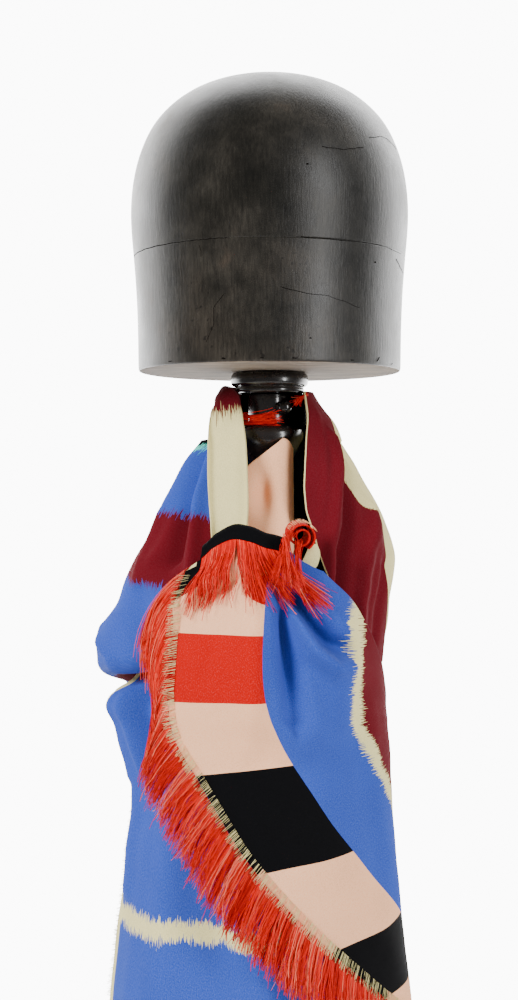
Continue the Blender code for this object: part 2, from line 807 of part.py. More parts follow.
def edge_fall(share, drop):
    height = reading(EDGE_PLACES, "share", "height", share)
    start = edge_at(height, EDGE_GAP, 0.0)
    return edge_at(height, EDGE_GAP + FRINGE_LENGTH * drop, drop) - start


def lip_root(share):
    edge = lip_point(0.03 + 0.94 * share, 1.0)
    angle = math.degrees(math.atan2(edge.x, -edge.y))
    return edge + Vector((0, 0, -EDGE_GAP)), outward_at(angle)


def lip_fall(share, drop):
    start, outward = lip_root(share)
    angle = math.degrees(math.atan2(start.x, -start.y))
    angle += (LIP_FRINGE_SWEEP * share - 3.0) * drop * drop
    height = start.z - LIP_FRINGE_SHARE * FRINGE_LENGTH * drop
    radius = max(math.hypot(start.x, start.y), tail_radius(angle, height) + LIP_FRINGE_OUT)
    return polar(angle, radius, height) - start


def hem_root(share):
    angle = UNDER_FIRST + 1.5 + (UNDER_LAST - UNDER_FIRST - 3.0) * share
    edge = polar(angle, under_radius(angle, UNDER_FOOT), UNDER_FOOT - 1.3 * GAP)
    return edge, outward_at(angle)


def hem_fall(share, drop):
    sway = 1.5 * math.sin(40.0 * share)
    return Vector((sway, 0.0, -FRINGE_LENGTH)) * drop


def knob(finish):
    """The locking screw of the post's top, a ball against the shaft."""
    shape = bmesh.new()
    bmesh.ops.create_uvsphere(shape, u_segments=12, v_segments=8, radius=KNOB_RADIUS * MM)
    place = polar(KNOB_ANGLE, SHAFT_RADIUS + GAP + KNOB_RADIUS, KNOB_HEIGHT) * MM
    bmesh.ops.translate(shape, vec=place, verts=shape.verts)
    mesh = bpy.data.meshes.new("screw_knob")
    shape.to_mesh(mesh)
    shape.free()
    return add_object("screw_knob", mesh, finish)


def main():
    for old in list(bpy.data.objects):
        bpy.data.objects.remove(old)
    walnut = material("dark_waxed_wood", (0.035, 0.028, 0.024), 0.4)
    ebony = material("black_lacquer", (0.012, 0.010, 0.010), 0.25)
    blue = material("blue_wool", (0.035, 0.085, 0.42), 0.85)
    maroon = material("maroon_wool", (0.16, 0.02, 0.028), 0.85)
    olive = material("pale_olive_wool", (0.50, 0.47, 0.28), 0.85)
    blush = material("blush_wool", (0.70, 0.46, 0.36), 0.8)
    black = material("black_wool", (0.012, 0.012, 0.013), 0.8)
    red = material("red_fringe", (0.70, 0.02, 0.012), 0.6)

    turned("hat_block", BLOCK_PROFILE, 40, walnut, BLOCK_DEPTH_SHARE)
    turned("block_collar", COLLAR_PROFILE, 24, ebony)
    turned("stand_post", POST_PROFILE, 20, ebony)
    turned("stand_base", BASE_PROFILE, 40, walnut)
    knob(ebony)

    cloth("back_loop", loop_point, 34, 20, blue)
    cloth("right_strand", fan_point, 11, 13, maroon)
    cloth("left_strand", band_point, 8, 14, olive)
    cloth("neck_wrap", wrap_point, 10, 2, maroon)
    cloth("inner_fold", inner_point, 9, 8, blush)
    cloth("front_tail", tail_point, 24, 27, blue)
    cloth("under_tail", under_point, 22, 14, blue)
    cloth("rolled_neckline", lip_point, 12, 8, black)
    cloth("rolled_corner", corner_point, 14, 2, red)
    cloth("corner_tip", tip_point, 4, 4, olive)

    fringe("fringe_edge", edge_root, edge_fall, EDGE_FRINGE_RUN, LOCK_PITCH, red)
    fringe("fringe_neckline", lip_root, lip_fall, NECKLINE_FRINGE_RUN, NECKLINE_PITCH, red)
    fringe("fringe_hem", hem_root, hem_fall, HEM_FRINGE_RUN, LOCK_PITCH, red)


main()
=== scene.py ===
import math

import bpy
import numpy as np
from mathutils import Matrix, Vector, noise


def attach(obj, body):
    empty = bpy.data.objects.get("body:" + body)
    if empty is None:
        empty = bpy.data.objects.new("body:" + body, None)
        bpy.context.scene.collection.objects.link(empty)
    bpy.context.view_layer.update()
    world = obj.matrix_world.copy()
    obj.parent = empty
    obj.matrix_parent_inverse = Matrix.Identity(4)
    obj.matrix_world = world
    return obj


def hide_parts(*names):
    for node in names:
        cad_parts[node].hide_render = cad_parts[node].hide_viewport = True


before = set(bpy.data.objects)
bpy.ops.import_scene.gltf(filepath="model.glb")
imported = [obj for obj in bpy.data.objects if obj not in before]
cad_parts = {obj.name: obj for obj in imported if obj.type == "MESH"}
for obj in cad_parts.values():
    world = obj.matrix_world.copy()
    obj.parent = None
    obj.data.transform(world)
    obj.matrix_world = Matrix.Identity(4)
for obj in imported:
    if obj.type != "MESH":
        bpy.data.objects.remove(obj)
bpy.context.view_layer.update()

mm = 0.001
random = np.random.default_rng(7)

# Places on the cloth are an angle round the post (0 the front, 90 the right, 180 the
# back), a radius and a height, in degrees and millimetres. Blender gets metres.


def linear(hexColour):
    # sRGB hex to the linear colour that a shader takes
    parts = [int(hexColour[n:n + 2], 16) / 255 for n in (1, 3, 5)]
    return tuple(c / 12.92 if c <= 0.04045 else ((c + 0.055) / 1.055) ** 2.4 for c in parts) + (1.0,)


def addNode(tree, kind, inputs=None, **settings):
    # adds a node with its settings, and links or sets each input by name or place
    node = tree.nodes.new(kind)
    for name, value in settings.items():
        setattr(node, name, value)
    for name, value in (inputs or {}).items():
        if isinstance(value, bpy.types.NodeSocket):
            tree.links.new(value, node.inputs[name])
        else:
            node.inputs[name].default_value = value
    return node


def newMaterial(name):
    # an empty material with its output, and the tree to build in
    material = bpy.data.materials.new(name)
    material.use_nodes = True
    tree = material.node_tree
    tree.nodes.clear()
    return material, tree


def endMaterial(tree, shader):
    addNode(tree, "ShaderNodeOutputMaterial", {"Surface": shader.outputs[0]})


def setStops(ramp, stops, interpolation="LINEAR"):
    # stops are (position, hex colour), from left to right
    ramp.color_ramp.interpolation = interpolation
    elements = ramp.color_ramp.elements
    while len(elements) > 1:
        elements.remove(elements[-1])
    elements[0].position = stops[0][0]
    elements[0].color = linear(stops[0][1])
    for position, colour in stops[1:]:
        elements.new(position).color = linear(colour)


def readTable(rows, column, at, key=0):
    # a column between rows, on a cubic that keeps each row's value
    rows = sorted(rows, key=lambda row: row[key])
    keys = np.array([row[key] for row in rows], float)
    values = np.array([row[column] for row in rows], float)
    rises = np.diff(values) / np.diff(keys)
    slopes = np.zeros(len(rows))
    slopes[0], slopes[-1] = rises[0], rises[-1]
    before, after = rises[:-1], rises[1:]
    alike = before * after > 0
    slopes[1:-1][alike] = 2 * before[alike] * after[alike] / (before + after)[alike]
    at = np.clip(np.asarray(at, float), keys[0], keys[-1])
    i = np.clip(np.searchsorted(keys, at, side="right") - 1, 0, len(keys) - 2)
    width = keys[i + 1] - keys[i]
    t = (at - keys[i]) / width
    start = values[i] * (1 + 2 * t) * (1 - t) ** 2 + slopes[i] * width * t * (1 - t) ** 2
    end = values[i + 1] * t * t * (3 - 2 * t) + slopes[i + 1] * width * t * t * (t - 1)
    return start + end


def shareOf(value, low, high):
    # 0 below low and 1 above high, with a smooth run between
    share = np.clip((value - low) / (high - low), 0.0, 1.0)
    return share * share * (3 - 2 * share)


def unit(vectors):
    return vectors / np.maximum(np.linalg.norm(vectors, axis=-1, keepdims=True), 1e-9)


def polar(angle, radius, height):
    turn = np.radians(angle)
    return np.stack([radius * np.sin(turn), -radius * np.cos(turn), height + 0 * turn], axis=-1)


def ovalRadius(sections, angle, height):
    # section rows are height, left, front, right, back
    across, along = np.sin(np.radians(angle)), np.cos(np.radians(angle))
    left, right = readTable(sections, 1, height), readTable(sections, 3, height)
    front, back = readTable(sections, 2, height), readTable(sections, 4, height)
    side, end = np.where(across > 0, right, left), np.where(along > 0, front, back)
    return 1.0 / np.hypot(across / side, along / end)


foldRadius = 90.0   # across a fold, degrees are turned to millimetres on this radius
fullFold = 80.0     # inside this radius the folds get shallower


def foldDistance(path, angle, height):
    # the signed distance to a fold's line, positive on its right going down, and the share
    # of the line that is passed there
    scale = math.radians(1.0) * foldRadius
    best = np.full(np.shape(angle), 1e9)
    passed = np.zeros(np.shape(angle))
    for n, (start, end) in enumerate(zip(path, path[1:])):
        runX, runZ = (end[0] - start[0]) * scale, end[1] - start[1]
        reachX, reachZ = (angle - start[0]) * scale, height - start[1]
        along = np.clip((reachX * runX + reachZ * runZ) / (runX**2 + runZ**2), 0, 1)
        offX, offZ = reachX - runX * along, reachZ - runZ * along
        distance = np.hypot(offX, offZ)
        side = np.where(runX * reachZ - runZ * reachX < 0, -1.0, 1.0)
        nearer = distance < np.abs(best)
        best = np.where(nearer, side * distance, best)
        passed = np.where(nearer, (n + along) / (len(path) - 1), passed)
    return best, passed


def foldLift(folds, angle, height, radius, fade=0.0):
    # fold rows are width on the left, width on the right, rise, path of (angle, height)
    lift = 0.0
    for leftWidth, rightWidth, rise, path in folds:
        distance, passed = foldDistance(path, angle, height)
        width = np.where(distance < 0, leftWidth, rightWidth)
        ends = 0.5 * (1 - shareOf(passed, 0.0, 0.25)) + shareOf(passed, 0.6, 1.0)
        lift = lift + rise * (1 - fade * ends) * np.exp(-((distance / width) ** 2))
    return lift * np.minimum(1.0, radius / fullFold)


def rumple(points, piece):
    # a small unevenness that the listed folds leave out, along the radius
    size, depth, seed = piece["rumple"]
    flat = points.reshape(-1, 3)
    place = Vector((seed, 2 * seed, 0))
    amount = np.array([noise.noise(Vector(p) / size + place) for p in flat]) * depth
    return (flat + unit(flat * (1, 1, 0)) * amount[:, None]).reshape(points.shape)


def gridShares(across, down):
    # the share of the way across and down a sheet, at each point of its grid
    return np.meshgrid(np.linspace(0, 1, across + 1), np.linspace(0, 1, down + 1))


def finishPiece(piece, material, slot, *nodes):
    # the piece's finish and body, and the solids that it stands in for, if any
    piece.data.materials.clear()
    piece.data.materials.append(material)
    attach(piece, "root")
    if nodes:
        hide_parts(*nodes)
    return piece


def meshPiece(name, points, faces):
    mesh = bpy.data.meshes.new(name)
    mesh.from_pydata((np.asarray(points).reshape(-1, 3) * mm).tolist(), [], faces)
    mesh.update()
    piece = bpy.data.objects.new(name, mesh)
    bpy.context.scene.collection.objects.link(piece)
    mesh.shade_smooth()
    return piece


def addMap(mesh, name, places):
    # a UV map in metres from one place in millimetres for each of the mesh's points
    loops = np.zeros(len(mesh.loops), int)
    mesh.loops.foreach_get("vertex_index", loops)
    layer = mesh.uv_layers.new(name=name)
    layer.data.foreach_set("uv", (places.reshape(-1, 2)[loops] * mm).ravel().astype(np.float32))


def clothPiece(name, points, cloth, wall=0.9):
    # a thin cloth wall over a grid of points, with the print's place and the true size
    rows, columns = points.shape[:2]
    corner = np.arange(rows * columns).reshape(rows, columns)
    faces = np.stack([corner[:-1, :-1], corner[1:, :-1], corner[1:, 1:], corner[:-1, 1:]], axis=-1)
    piece = meshPiece(name, points, faces.reshape(-1, 4).tolist())
    addMap(piece.data, "cloth", cloth)
    weft = np.zeros((rows, columns))
    warp = np.zeros((rows, columns))
    weft[:, 1:] = np.cumsum(np.linalg.norm(np.diff(points, axis=1), axis=2), axis=1)
    warp[1:] = np.cumsum(np.linalg.norm(np.diff(points, axis=0), axis=2), axis=0)
    weft -= weft[:, columns // 2:columns // 2 + 1]
    addMap(piece.data, "weave", np.stack([warp, weft], axis=-1))
    solid = piece.modifiers.new("wall", "SOLIDIFY")
    solid.thickness = wall * mm
    solid.offset = 0.0
    return piece


def strandPiece(name, paths, thickness, tones, cloth=None):
    # many threads as fine three-sided tubes; paths is (threads, points, 3)
    threads, steps = paths.shape[:2]
    run = unit(np.gradient(paths, axis=1))
    sideways = unit(np.cross(run, (0.31, 0.83, 0.46)))   # a way that no thread runs
    other = np.cross(run, sideways)
    taper = np.linspace(1.0, 0.65, steps)[None, :, None]
    half = np.reshape(thickness, (-1, 1, 1)) * 0.5 * taper
    rings = []
    for n in range(3):
        turn = math.tau * n / 3
        rings.append(paths + (sideways * math.cos(turn) + other * math.sin(turn)) * half)
    points = np.stack(rings, axis=2)
    index = np.arange(threads * steps * 3).reshape(threads, steps, 3)
    faces = []
    for n in range(3):
        m = (n + 1) % 3
        before, after = index[:, :-1], index[:, 1:]
        quads = np.stack([before[..., n], before[..., m], after[..., m], after[..., n]], axis=-1)
        faces += quads.reshape(-1, 4).tolist()
    faces += index[:, 0, ::-1].tolist() + index[:, -1].tolist()
    piece = meshPiece(name, points, faces)
    mesh = piece.data
    tone = mesh.attributes.new("tone", "FLOAT", "POINT")
    tone.data.foreach_set("value", np.repeat(tones, steps * 3).astype(np.float32))
    if cloth is not None:
        spread = np.repeat(cloth, steps * 3, axis=0)
        addMap(mesh, "cloth", spread)
        addMap(mesh, "weave", spread)
    return piece


# The camera stands in front at the height of the neckline, as in the photograph
view = {"place": (-6.9, -1100.0, 655.0), "lens": 60.0, "sensor": 36.0, "shiftY": -0.01}
cameraData = bpy.data.cameras.new("camera")
cameraData.lens = view["lens"]
cameraData.sensor_width = view["sensor"]
cameraData.shift_y = view["shiftY"]
camera = bpy.data.objects.new("camera", cameraData)
camera.location = Vector(view["place"]) * mm
camera.rotation_euler = (math.radians(90), 0, 0)
bpy.context.scene.collection.objects.link(camera)
bpy.context.scene.camera = camera

# A pale studio: a white surround, a broad light on the left and a tall strip on the right
studio = {
    # the surround's strength in front and behind, as light and as a reflection, and where
    # it changes, from -1 straight in front to 1 straight behind
    "lit": (0.38, 1.7), "litChange": (-0.25, 0.55),
    "mirrored": (0.24, 8.5), "mirroredChange": (0.05, 0.75),
    "backdrop": 11.0,
    # name, place in metres, what it faces, width, height, watts, whether it is mirrored
    "lights": [
        ("left_softbox", (-1.5, -1.15, 1.5), (0, 0, 0.6), 0.8, 0.8, 62, False),
        ("right_strip", (1.15, -1.15, 0.95), (0, 0, 0.75), 0.24, 1.5, 26, True),
    ],
    "floorRadius": 0.9,
}


def makeStudio():
    world = bpy.data.worlds.new("pale_surround")
    world.use_nodes = True
    tree = world.node_tree
    tree.nodes.clear()
    ray = addNode(tree, "ShaderNodeLightPath")
    where = addNode(tree, "ShaderNodeTexCoord").outputs["Generated"]
    rearward = addNode(tree, "ShaderNodeSeparateXYZ", {0: where}).outputs[1]

    def surroundStrength(kind):
        (start, end), (ahead, behind) = studio[kind + "Change"], studio[kind]
        share = addNode(tree, "ShaderNodeMapRange", {0: rearward, 1: start, 2: end},
                        interpolation_type="SMOOTHSTEP")
        return addNode(tree, "ShaderNodeMix", {0: share.outputs[0], 2: ahead, 3: behind}).outputs[0]

    either = addNode(tree, "ShaderNodeMix", {
        0: ray.outputs["Is Glossy Ray"], 2: surroundStrength("lit"), 3: surroundStrength("mirrored")})
    strength = addNode(tree, "ShaderNodeMix", {
        0: ray.outputs["Is Camera Ray"], 2: either.outputs[0], 3: studio["backdrop"]})
    surround = addNode(tree, "ShaderNodeBackground", {0: linear("#FFFFFF"), 1: strength.outputs[0]})
    addNode(tree, "ShaderNodeOutputWorld", {0: surround.outputs[0]})
    bpy.context.scene.world = world
    for name, place, target, width, height, power, mirrored in studio["lights"]:
        data = bpy.data.lights.new(name, "AREA")
        data.shape = "RECTANGLE"
        data.size = width
        data.size_y = height
        data.energy = power
        light = bpy.data.objects.new(name, data)
        light.location = place
        light.visible_glossy = mirrored
        light.rotation_euler = (Vector(target) - Vector(place)).to_track_quat("-Z", "Y").to_euler()
        bpy.context.scene.collection.objects.link(light)
    bpy.ops.object.select_all(action="DESELECT")
    bpy.ops.mesh.primitive_circle_add(vertices=96, radius=studio["floorRadius"], fill_type="NGON")
    floor = bpy.context.object
    floor.name = "floor"
    floor.location.z = -0.0005   # just under the base
    material, tree = newMaterial("pale_painted_floor")
    place = addNode(tree, "ShaderNodeTexCoord").outputs["Object"]
    grain = addNode(tree, "ShaderNodeTexNoise", {0: place, "Scale": 15.0, "Detail": 3.0})
    ramp = addNode(tree, "ShaderNodeValToRGB", {0: grain.outputs["Fac"]})
    setStops(ramp, [(0.3, "#F2F1EE"), (0.7, "#F6F5F3")])
    endMaterial(tree, addNode(tree, "ShaderNodeBsdfPrincipled", {
        "Base Color": ramp.outputs[0], "Roughness": 0.8}))
    floor.data.materials.append(material)


makeStudio()
print("stage: camera, studio and floor")


# The wool's own print: bands across the cloth, and a border of blocks at its fringed ends.
# U is the distance from the fringed end, V the place across the cloth, in metres.
printed = {
    "border": 55.0,
    "length": 1000.0,
    "bands": [
        (0, "#3750AC"), (106, "#E6DA9C"), (120, "#62141D"), (170, "#3750AC"), (200, "#62141D"),
        (262, "#E6DA9C"), (310, "#5FDCC6"), (318, "#0B0B0D"), (345, "#5FDCC6"), (350, "#3750AC"),
        (398, "#62141D"), (442, "#3750AC"), (520, "#62141D"), (590, "#3750AC"), (744, "#E6DA9C"),
        (755, "#3750AC"), (806, "#62141D"), (872, "#E6DA9C"), (886, "#3750AC"),
    ],
    "blockLength": 600.0,
    "blocks": [
        (0, "#0B0B0D"), (22, "#FFBE92"), (44, "#BC0402"), (86, "#FFBE92"), (134, "#0B0B0D"),
        (206, "#FFBE92"), (272, "#0B0B0D"), (328, "#FFBE92"), (390, "#BC0402"), (436, "#FFBE92"),
        (490, "#0B0B0D"), (552, "#FFBE92"),
    ],
    "selvedge": (5.0, "#E6DA9C"),
    # how far the joins between bands run into each other, and how far from the end that starts
    "shift": 22.0, "shiftFrom": (65.0, 100.0),
    # the grain of each unevenness, along and across the cloth: two in the joins, then the
    # fibres, the nap and the dye
    "feather": (11.0, 0.8), "sway": (90.0, 50.0),
    "fibres": (1.0, 0.8), "nap": (5.0, 3.0), "dye": (45.0, 40.0),
    "fibreContrast": 0.45, "fibreSaturation": 0.22, "napContrast": 0.12, "dyeContrast": 0.20,
    "threadSpacing": 1.1,   # drawn twice as coarse as the cloth's own, so that it shows
    "sheen": 0.06,
}


def printedWool(name):
    # fine worsted wool, printed and lightly brushed: matte, with a soft sheen at its edges
    material, tree = newMaterial(name)

    def mapped(mapName):
        place = addNode(tree, "ShaderNodeUVMap", uv_map=mapName)
        split = addNode(tree, "ShaderNodeSeparateXYZ", {0: place.outputs[0]})
        return split.outputs[0], split.outputs[1]

    def maths(operation, one, two=0.0, three=0.0):
        node = addNode(tree, "ShaderNodeMath", {0: one, 1: two, 2: three}, operation=operation)
        return node.outputs[0]

    def streaks(kind, along, across, detail=2.0):
        # a noise of this kind's grain, from -0.5 to 0.5
        alongSize, acrossSize = printed[kind]
        where = addNode(tree, "ShaderNodeCombineXYZ", {
            0: maths("DIVIDE", along, alongSize * mm), 1: maths("DIVIDE", across, acrossSize * mm)})
        made = addNode(tree, "ShaderNodeTexNoise", {
            0: where.outputs[0], "Scale": 1.0, "Detail": detail})
        return maths("SUBTRACT", made.outputs["Fac"], 0.5)

    u, v = mapped("cloth")
    warp, weft = mapped("weave")
    # joins between bands run into each other, thread by thread
    feather, sway = streaks("feather", u, v), streaks("sway", u, v)
    shift = maths("ADD", maths("MULTIPLY", feather, printed["shift"] * mm),
                  maths("MULTIPLY", sway, printed["shift"] * mm))
    start, end = printed["shiftFrom"]
    shifted = addNode(tree, "ShaderNodeMapRange", {0: u, 1: start * mm, 2: end * mm, 3: 0.0, 4: 1.0})
    bandPlace = maths("ADD", u, maths("MULTIPLY", shift, shifted.outputs[0]))

    def stripes(kind, place, length):
        ramp = addNode(tree, "ShaderNodeValToRGB", {0: maths("DIVIDE", place, length * mm)})
        setStops(ramp, [(at / length, colour) for at, colour in printed[kind]], "CONSTANT")
        return ramp.outputs[0]

    bands = stripes("bands", bandPlace, printed["length"])
    blocks = stripes("blocks", v, printed["blockLength"])
    atFirst = maths("LESS_THAN", u, printed["border"] * mm)
    atLast = maths("GREATER_THAN", u, (printed["length"] - printed["border"]) * mm)
    inBorder = maths("ADD", atFirst, atLast)
    colour = addNode(tree, "ShaderNodeMix", {
        0: inBorder, 6: bands, 7: blocks}, data_type="RGBA").outputs[2]
    width, pale = printed["selvedge"]
    atSide = maths("LESS_THAN", v, width * mm)
    colour = addNode(tree, "ShaderNodeMix", {
        0: atSide, 6: colour, 7: linear(pale)}, data_type="RGBA").outputs[2]
    # the brushed melange: lighter and darker fibres, and a broad unevenness of the dye
    fibres, dye = streaks("fibres", warp, weft), streaks("dye", warp, weft)
    nap = streaks("nap", warp, weft, 3.0)
    value = maths("ADD", maths("MULTIPLY", fibres, printed["fibreContrast"]),
                  maths("MULTIPLY", nap, printed["napContrast"]))
    value = maths("ADD", value, maths("MULTIPLY", dye, printed["dyeContrast"]))
    greyed = maths("MULTIPLY", fibres, printed["fibreSaturation"])
    shaded = addNode(tree, "ShaderNodeHueSaturation", {
        "Saturation": maths("SUBTRACT", 1.0, greyed), "Value": maths("ADD", 1.0, value),
        "Color": colour})
    # the weave, as raised threads both ways, with the brushed nap over it
    spacing = printed["threadSpacing"] * mm
    ends = maths("SINE", maths("MULTIPLY", warp, math.tau / spacing))
    picks = maths("SINE", maths("MULTIPLY", weft, math.tau / spacing))
    weave = maths("ADD", maths("MULTIPLY", ends, picks), maths("MULTIPLY", fibres, 4.0))
    bump = addNode(tree, "ShaderNodeBump", {"Strength": 0.25, "Distance": 0.0002, "Height": weave})
    shader = addNode(tree, "ShaderNodeBsdfPrincipled", {
        "Base Color": shaded.outputs[0], "Roughness": 0.85, "Specular IOR Level": 0.05,
        "Sheen Weight": printed["sheen"], "Sheen Roughness": 0.4, "Normal": bump.outputs[0]})
    endMaterial(tree, shader)
    return material


def silkFringe(name):
    # loose silky warp threads: bright red, glossier than the cloth, each a little its own tone; the deep
    # red tones also paint shade between threads and the pale pink ones paint highlights
    material, tree = newMaterial(name)
    tone = addNode(tree, "ShaderNodeAttribute", attribute_name="tone")
    ramp = addNode(tree, "ShaderNodeValToRGB", {0: tone.outputs["Fac"]})
    # painted shade at the deep red end of the tones, painted highlights at the pale pink end
    setStops(ramp, [(0.0, "#8E0402"), (0.35, "#CE0C04"), (0.75, "#F2220E"), (1.0, "#FF7E62")])
    shader = addNode(tree, "ShaderNodeBsdfPrincipled", {
        "Base Color": ramp.outputs[0], "Roughness": 0.42, "Specular IOR Level": 0.3})
    endMaterial(tree, shader)
    return material


wool = printedWool("printed_worsted_wool")
fringeSilk = silkFringe("red_silk_fringe")

# The front tail, from the rolled neckline down the front and round the right side
frontTail = {
    "across": 150, "down": 210, "crowding": 1.15,
    # the tops of the cloth and of its level rows, and its foot
    "top": 631.0, "level": 605.0, "foot": 168.0,
    "rumple": (26.0, 0.9, 3.0),   # size, depth and seed
    # the print's bands: the radius that turns degrees to millimetres, the height over which
    # the edge's slope is taken, the smoothing and where it starts from the edge, and the lean
    "printRadius": 92.0, "reach": 30.0, "smoothing": 14, "smoothFrom": (6, 40),
    "lean": (0.35, 0.75), "leanFrom": (572, 600),
    # angle and height
    "crest": [
        (-34, 608), (-27, 616), (-23, 622), (-14.5, 627.3), (-7.7, 625.5), (-1.8, 622),
        (2, 620.8), (6, 619), (10, 615.5), (14, 611),
    ],
    # height, first angle, last angle
    "spans": [
        (168, 143, 152), (200, 129, 152), (240, 110, 151), (280, 90, 150), (318, 66, 150),
        (343, 46, 150), (374, 23.5, 150), (404, 5, 150), (435, -11, 150), (465, -22.5, 146),
        (480, -28, 135), (490, -32, 123), (505, -36.5, 102), (516, -37.5, 86), (530, -37.5, 69),
        (553, -37, 53), (575, -37, 40), (587, -37, 34), (605, -36, 22), (631, -34, 14),
    ],
    # height, and the radius on the left, in front, on the right and behind
    "sections": [
        (168, 100, 98, 103, 98), (280, 98, 95, 99, 95), (345, 98, 92, 91, 93), (371, 98, 91, 88, 91),
        (411, 98, 91, 84, 91), (450, 102, 91.5, 81, 89), (477, 105, 93, 79.5, 87),
        (503, 108, 95, 77.5, 86), (516, 109, 97, 76, 84), (530, 110, 98, 76.5, 84),
        (553, 110, 97, 80, 80), (575, 106, 94, 84, 76), (594, 100, 89, 84, 72),
        (619, 86, 81, 77, 66), (631, 82, 77, 72, 60),
    ],
    # the folds of the solid, and then the finer ones: the widths on both sides, the rise,
    # and the path as angles and heights
    "folds": [
        (11, 8, 5.5, [(-7, 598), (-5.5, 564), (-5.5, 533), (-8, 500)]),
        (3.6, 8.5, -16, [(4.0, 596), (4.5, 575), (5.5, 545), (7.5, 516)]),
        (6, 5, -16, [(7, 596), (13, 585), (18, 573), (24, 562), (30, 557)]),
        (7, 3.6, 11, [(6, 586), (11, 573), (16, 559), (24, 548), (31, 548)]),
        (13, 13, 4, [(22, 595), (28, 576), (31, 545), (29, 512)]),
        (5, 5, 4, [(-36, 582), (-28.3, 598), (-20.5, 606), (-11, 612), (-4, 610)]),
        (5, 4, -3.5, [(-31, 580), (-22, 593), (-14, 599), (-6, 601)]),
        (12, 12, 3, [(-22, 560), (-26, 520)]),
        (12, 12, -2.5, [(-12, 500), (10, 489), (30, 496)]),
        (18, 18, 4, [(60, 520), (62, 420), (66, 330)]),
        (14, 14, -5, [(86, 480), (90, 330), (96, 230)]),
        (14, 14, 6, [(112, 470), (112, 300), (117, 200)]),
        (14, 14, -5, [(134, 440), (134, 300), (138, 190)]),
        (16, 16, 3, [(20, 460), (44, 400), (66, 335)]),
    ],
    "finer": [
        (4, 6, -1.2, [(-20, 566), (-24, 540), (-25, 520)]),
        (5, 5, 1.0, [(12, 540), (18, 520), (20, 500)]),
        (9, 7, -1.4, [(33, 540), (38, 505), (40, 470)]),
        (8, 8, 1.2, [(0, 470), (16, 440), (34, 400)]),
        (7, 9, -1.1, [(-8, 450), (10, 420), (30, 382)]),
        (10, 8, 1.4, [(48, 520), (50, 470), (56, 420)]),
        (9, 10, -1.5, [(74, 470), (76, 400), (80, 320)]),
        (8, 10, 1.3, [(98, 440), (101, 360), (103, 260)]),
        (10, 8, -1.3, [(123, 460), (124, 380), (126, 240)]),
        (8, 8, 1.2, [(143, 440), (144, 340), (146, 220)]),
    ],
}


def tailRadius(angle, height, fine=False):
    radius = ovalRadius(frontTail["sections"], angle, height)
    lift = foldLift(frontTail["folds"], angle, height, radius, fade=0.5)
    if fine:
        lift = lift + foldLift(frontTail["finer"], angle, height, radius, fade=0.5)
    return radius + lift


def tailHeight(angle, level):
    # over the level the rows close up to the crest, which the neckline's roll holds
    top, highest = frontTail["top"], frontTail["level"]
    crest = readTable(frontTail["crest"], 1, angle)
    share = (level - highest) / (top - highest)
    return np.where(level <= highest, level, highest + (crest - highest) * share)


def edgeLine():
    # the free edge from the top down, as arc length, angle and height
    height = np.linspace(frontTail["top"], frontTail["foot"], 400)
    angle = readTable(frontTail["spans"], 1, height)
    height = tailHeight(angle, height)
    line = polar(angle, tailRadius(angle, height), height)
    steps = np.linalg.norm(np.diff(line, axis=0), axis=1)
    return np.concatenate([[0], np.cumsum(steps)]), angle, height


edgeArc, edgeAngle, edgeHeight = edgeLine()


def tailCloth(angle, height):
    # the distance from the free edge and the place along it; the rows lean with the curl
    spans, radius, reach = frontTail["spans"], frontTail["printRadius"], frontTail["reach"]
    level = np.minimum(height, frontTail["level"])
    edge = readTable(spans, 1, level)
    # away from the edge the bands keep to a smoother line than the edge's own
    steps = [n * frontTail["smoothing"] for n in range(-3, 4)]
    smooth = sum(readTable(spans, 1, level + step) for step in steps) / len(steps)
    edge = edge + (smooth - edge) * shareOf(angle - edge, *frontTail["smoothFrom"])
    away = np.radians(angle - edge) * radius
    above, below = readTable(spans, 1, level + reach), readTable(spans, 1, level - reach)
    slope = np.arctan2(2 * reach, np.radians(below - above) * radius)
    place = np.interp(-height, -edgeHeight, edgeArc)
    slanted, high = frontTail["lean"]
    lean = slanted * np.cos(slope) + high * shareOf(height, *frontTail["leanFrom"])
    return np.stack([away * np.sin(slope), place + away * lean], axis=-1)


def makeFrontTail():
    across, down = gridShares(frontTail["across"], frontTail["down"])
    top, spans = frontTail["top"], frontTail["spans"]
    level = top + (frontTail["foot"] - top) * down ** frontTail["crowding"]
    first, last = readTable(spans, 1, level), readTable(spans, 2, level)
    angle = first + (last - first) * across
    height = tailHeight(angle, level)
    points = rumple(polar(angle, tailRadius(angle, height, fine=True), height), frontTail)
    piece = clothPiece("front_tail_cloth", points, tailCloth(angle, height))
    return finishPiece(piece, wool, "blue_wool", "front_tail")


tailCloths = makeFrontTail()
print("stage: front tail")

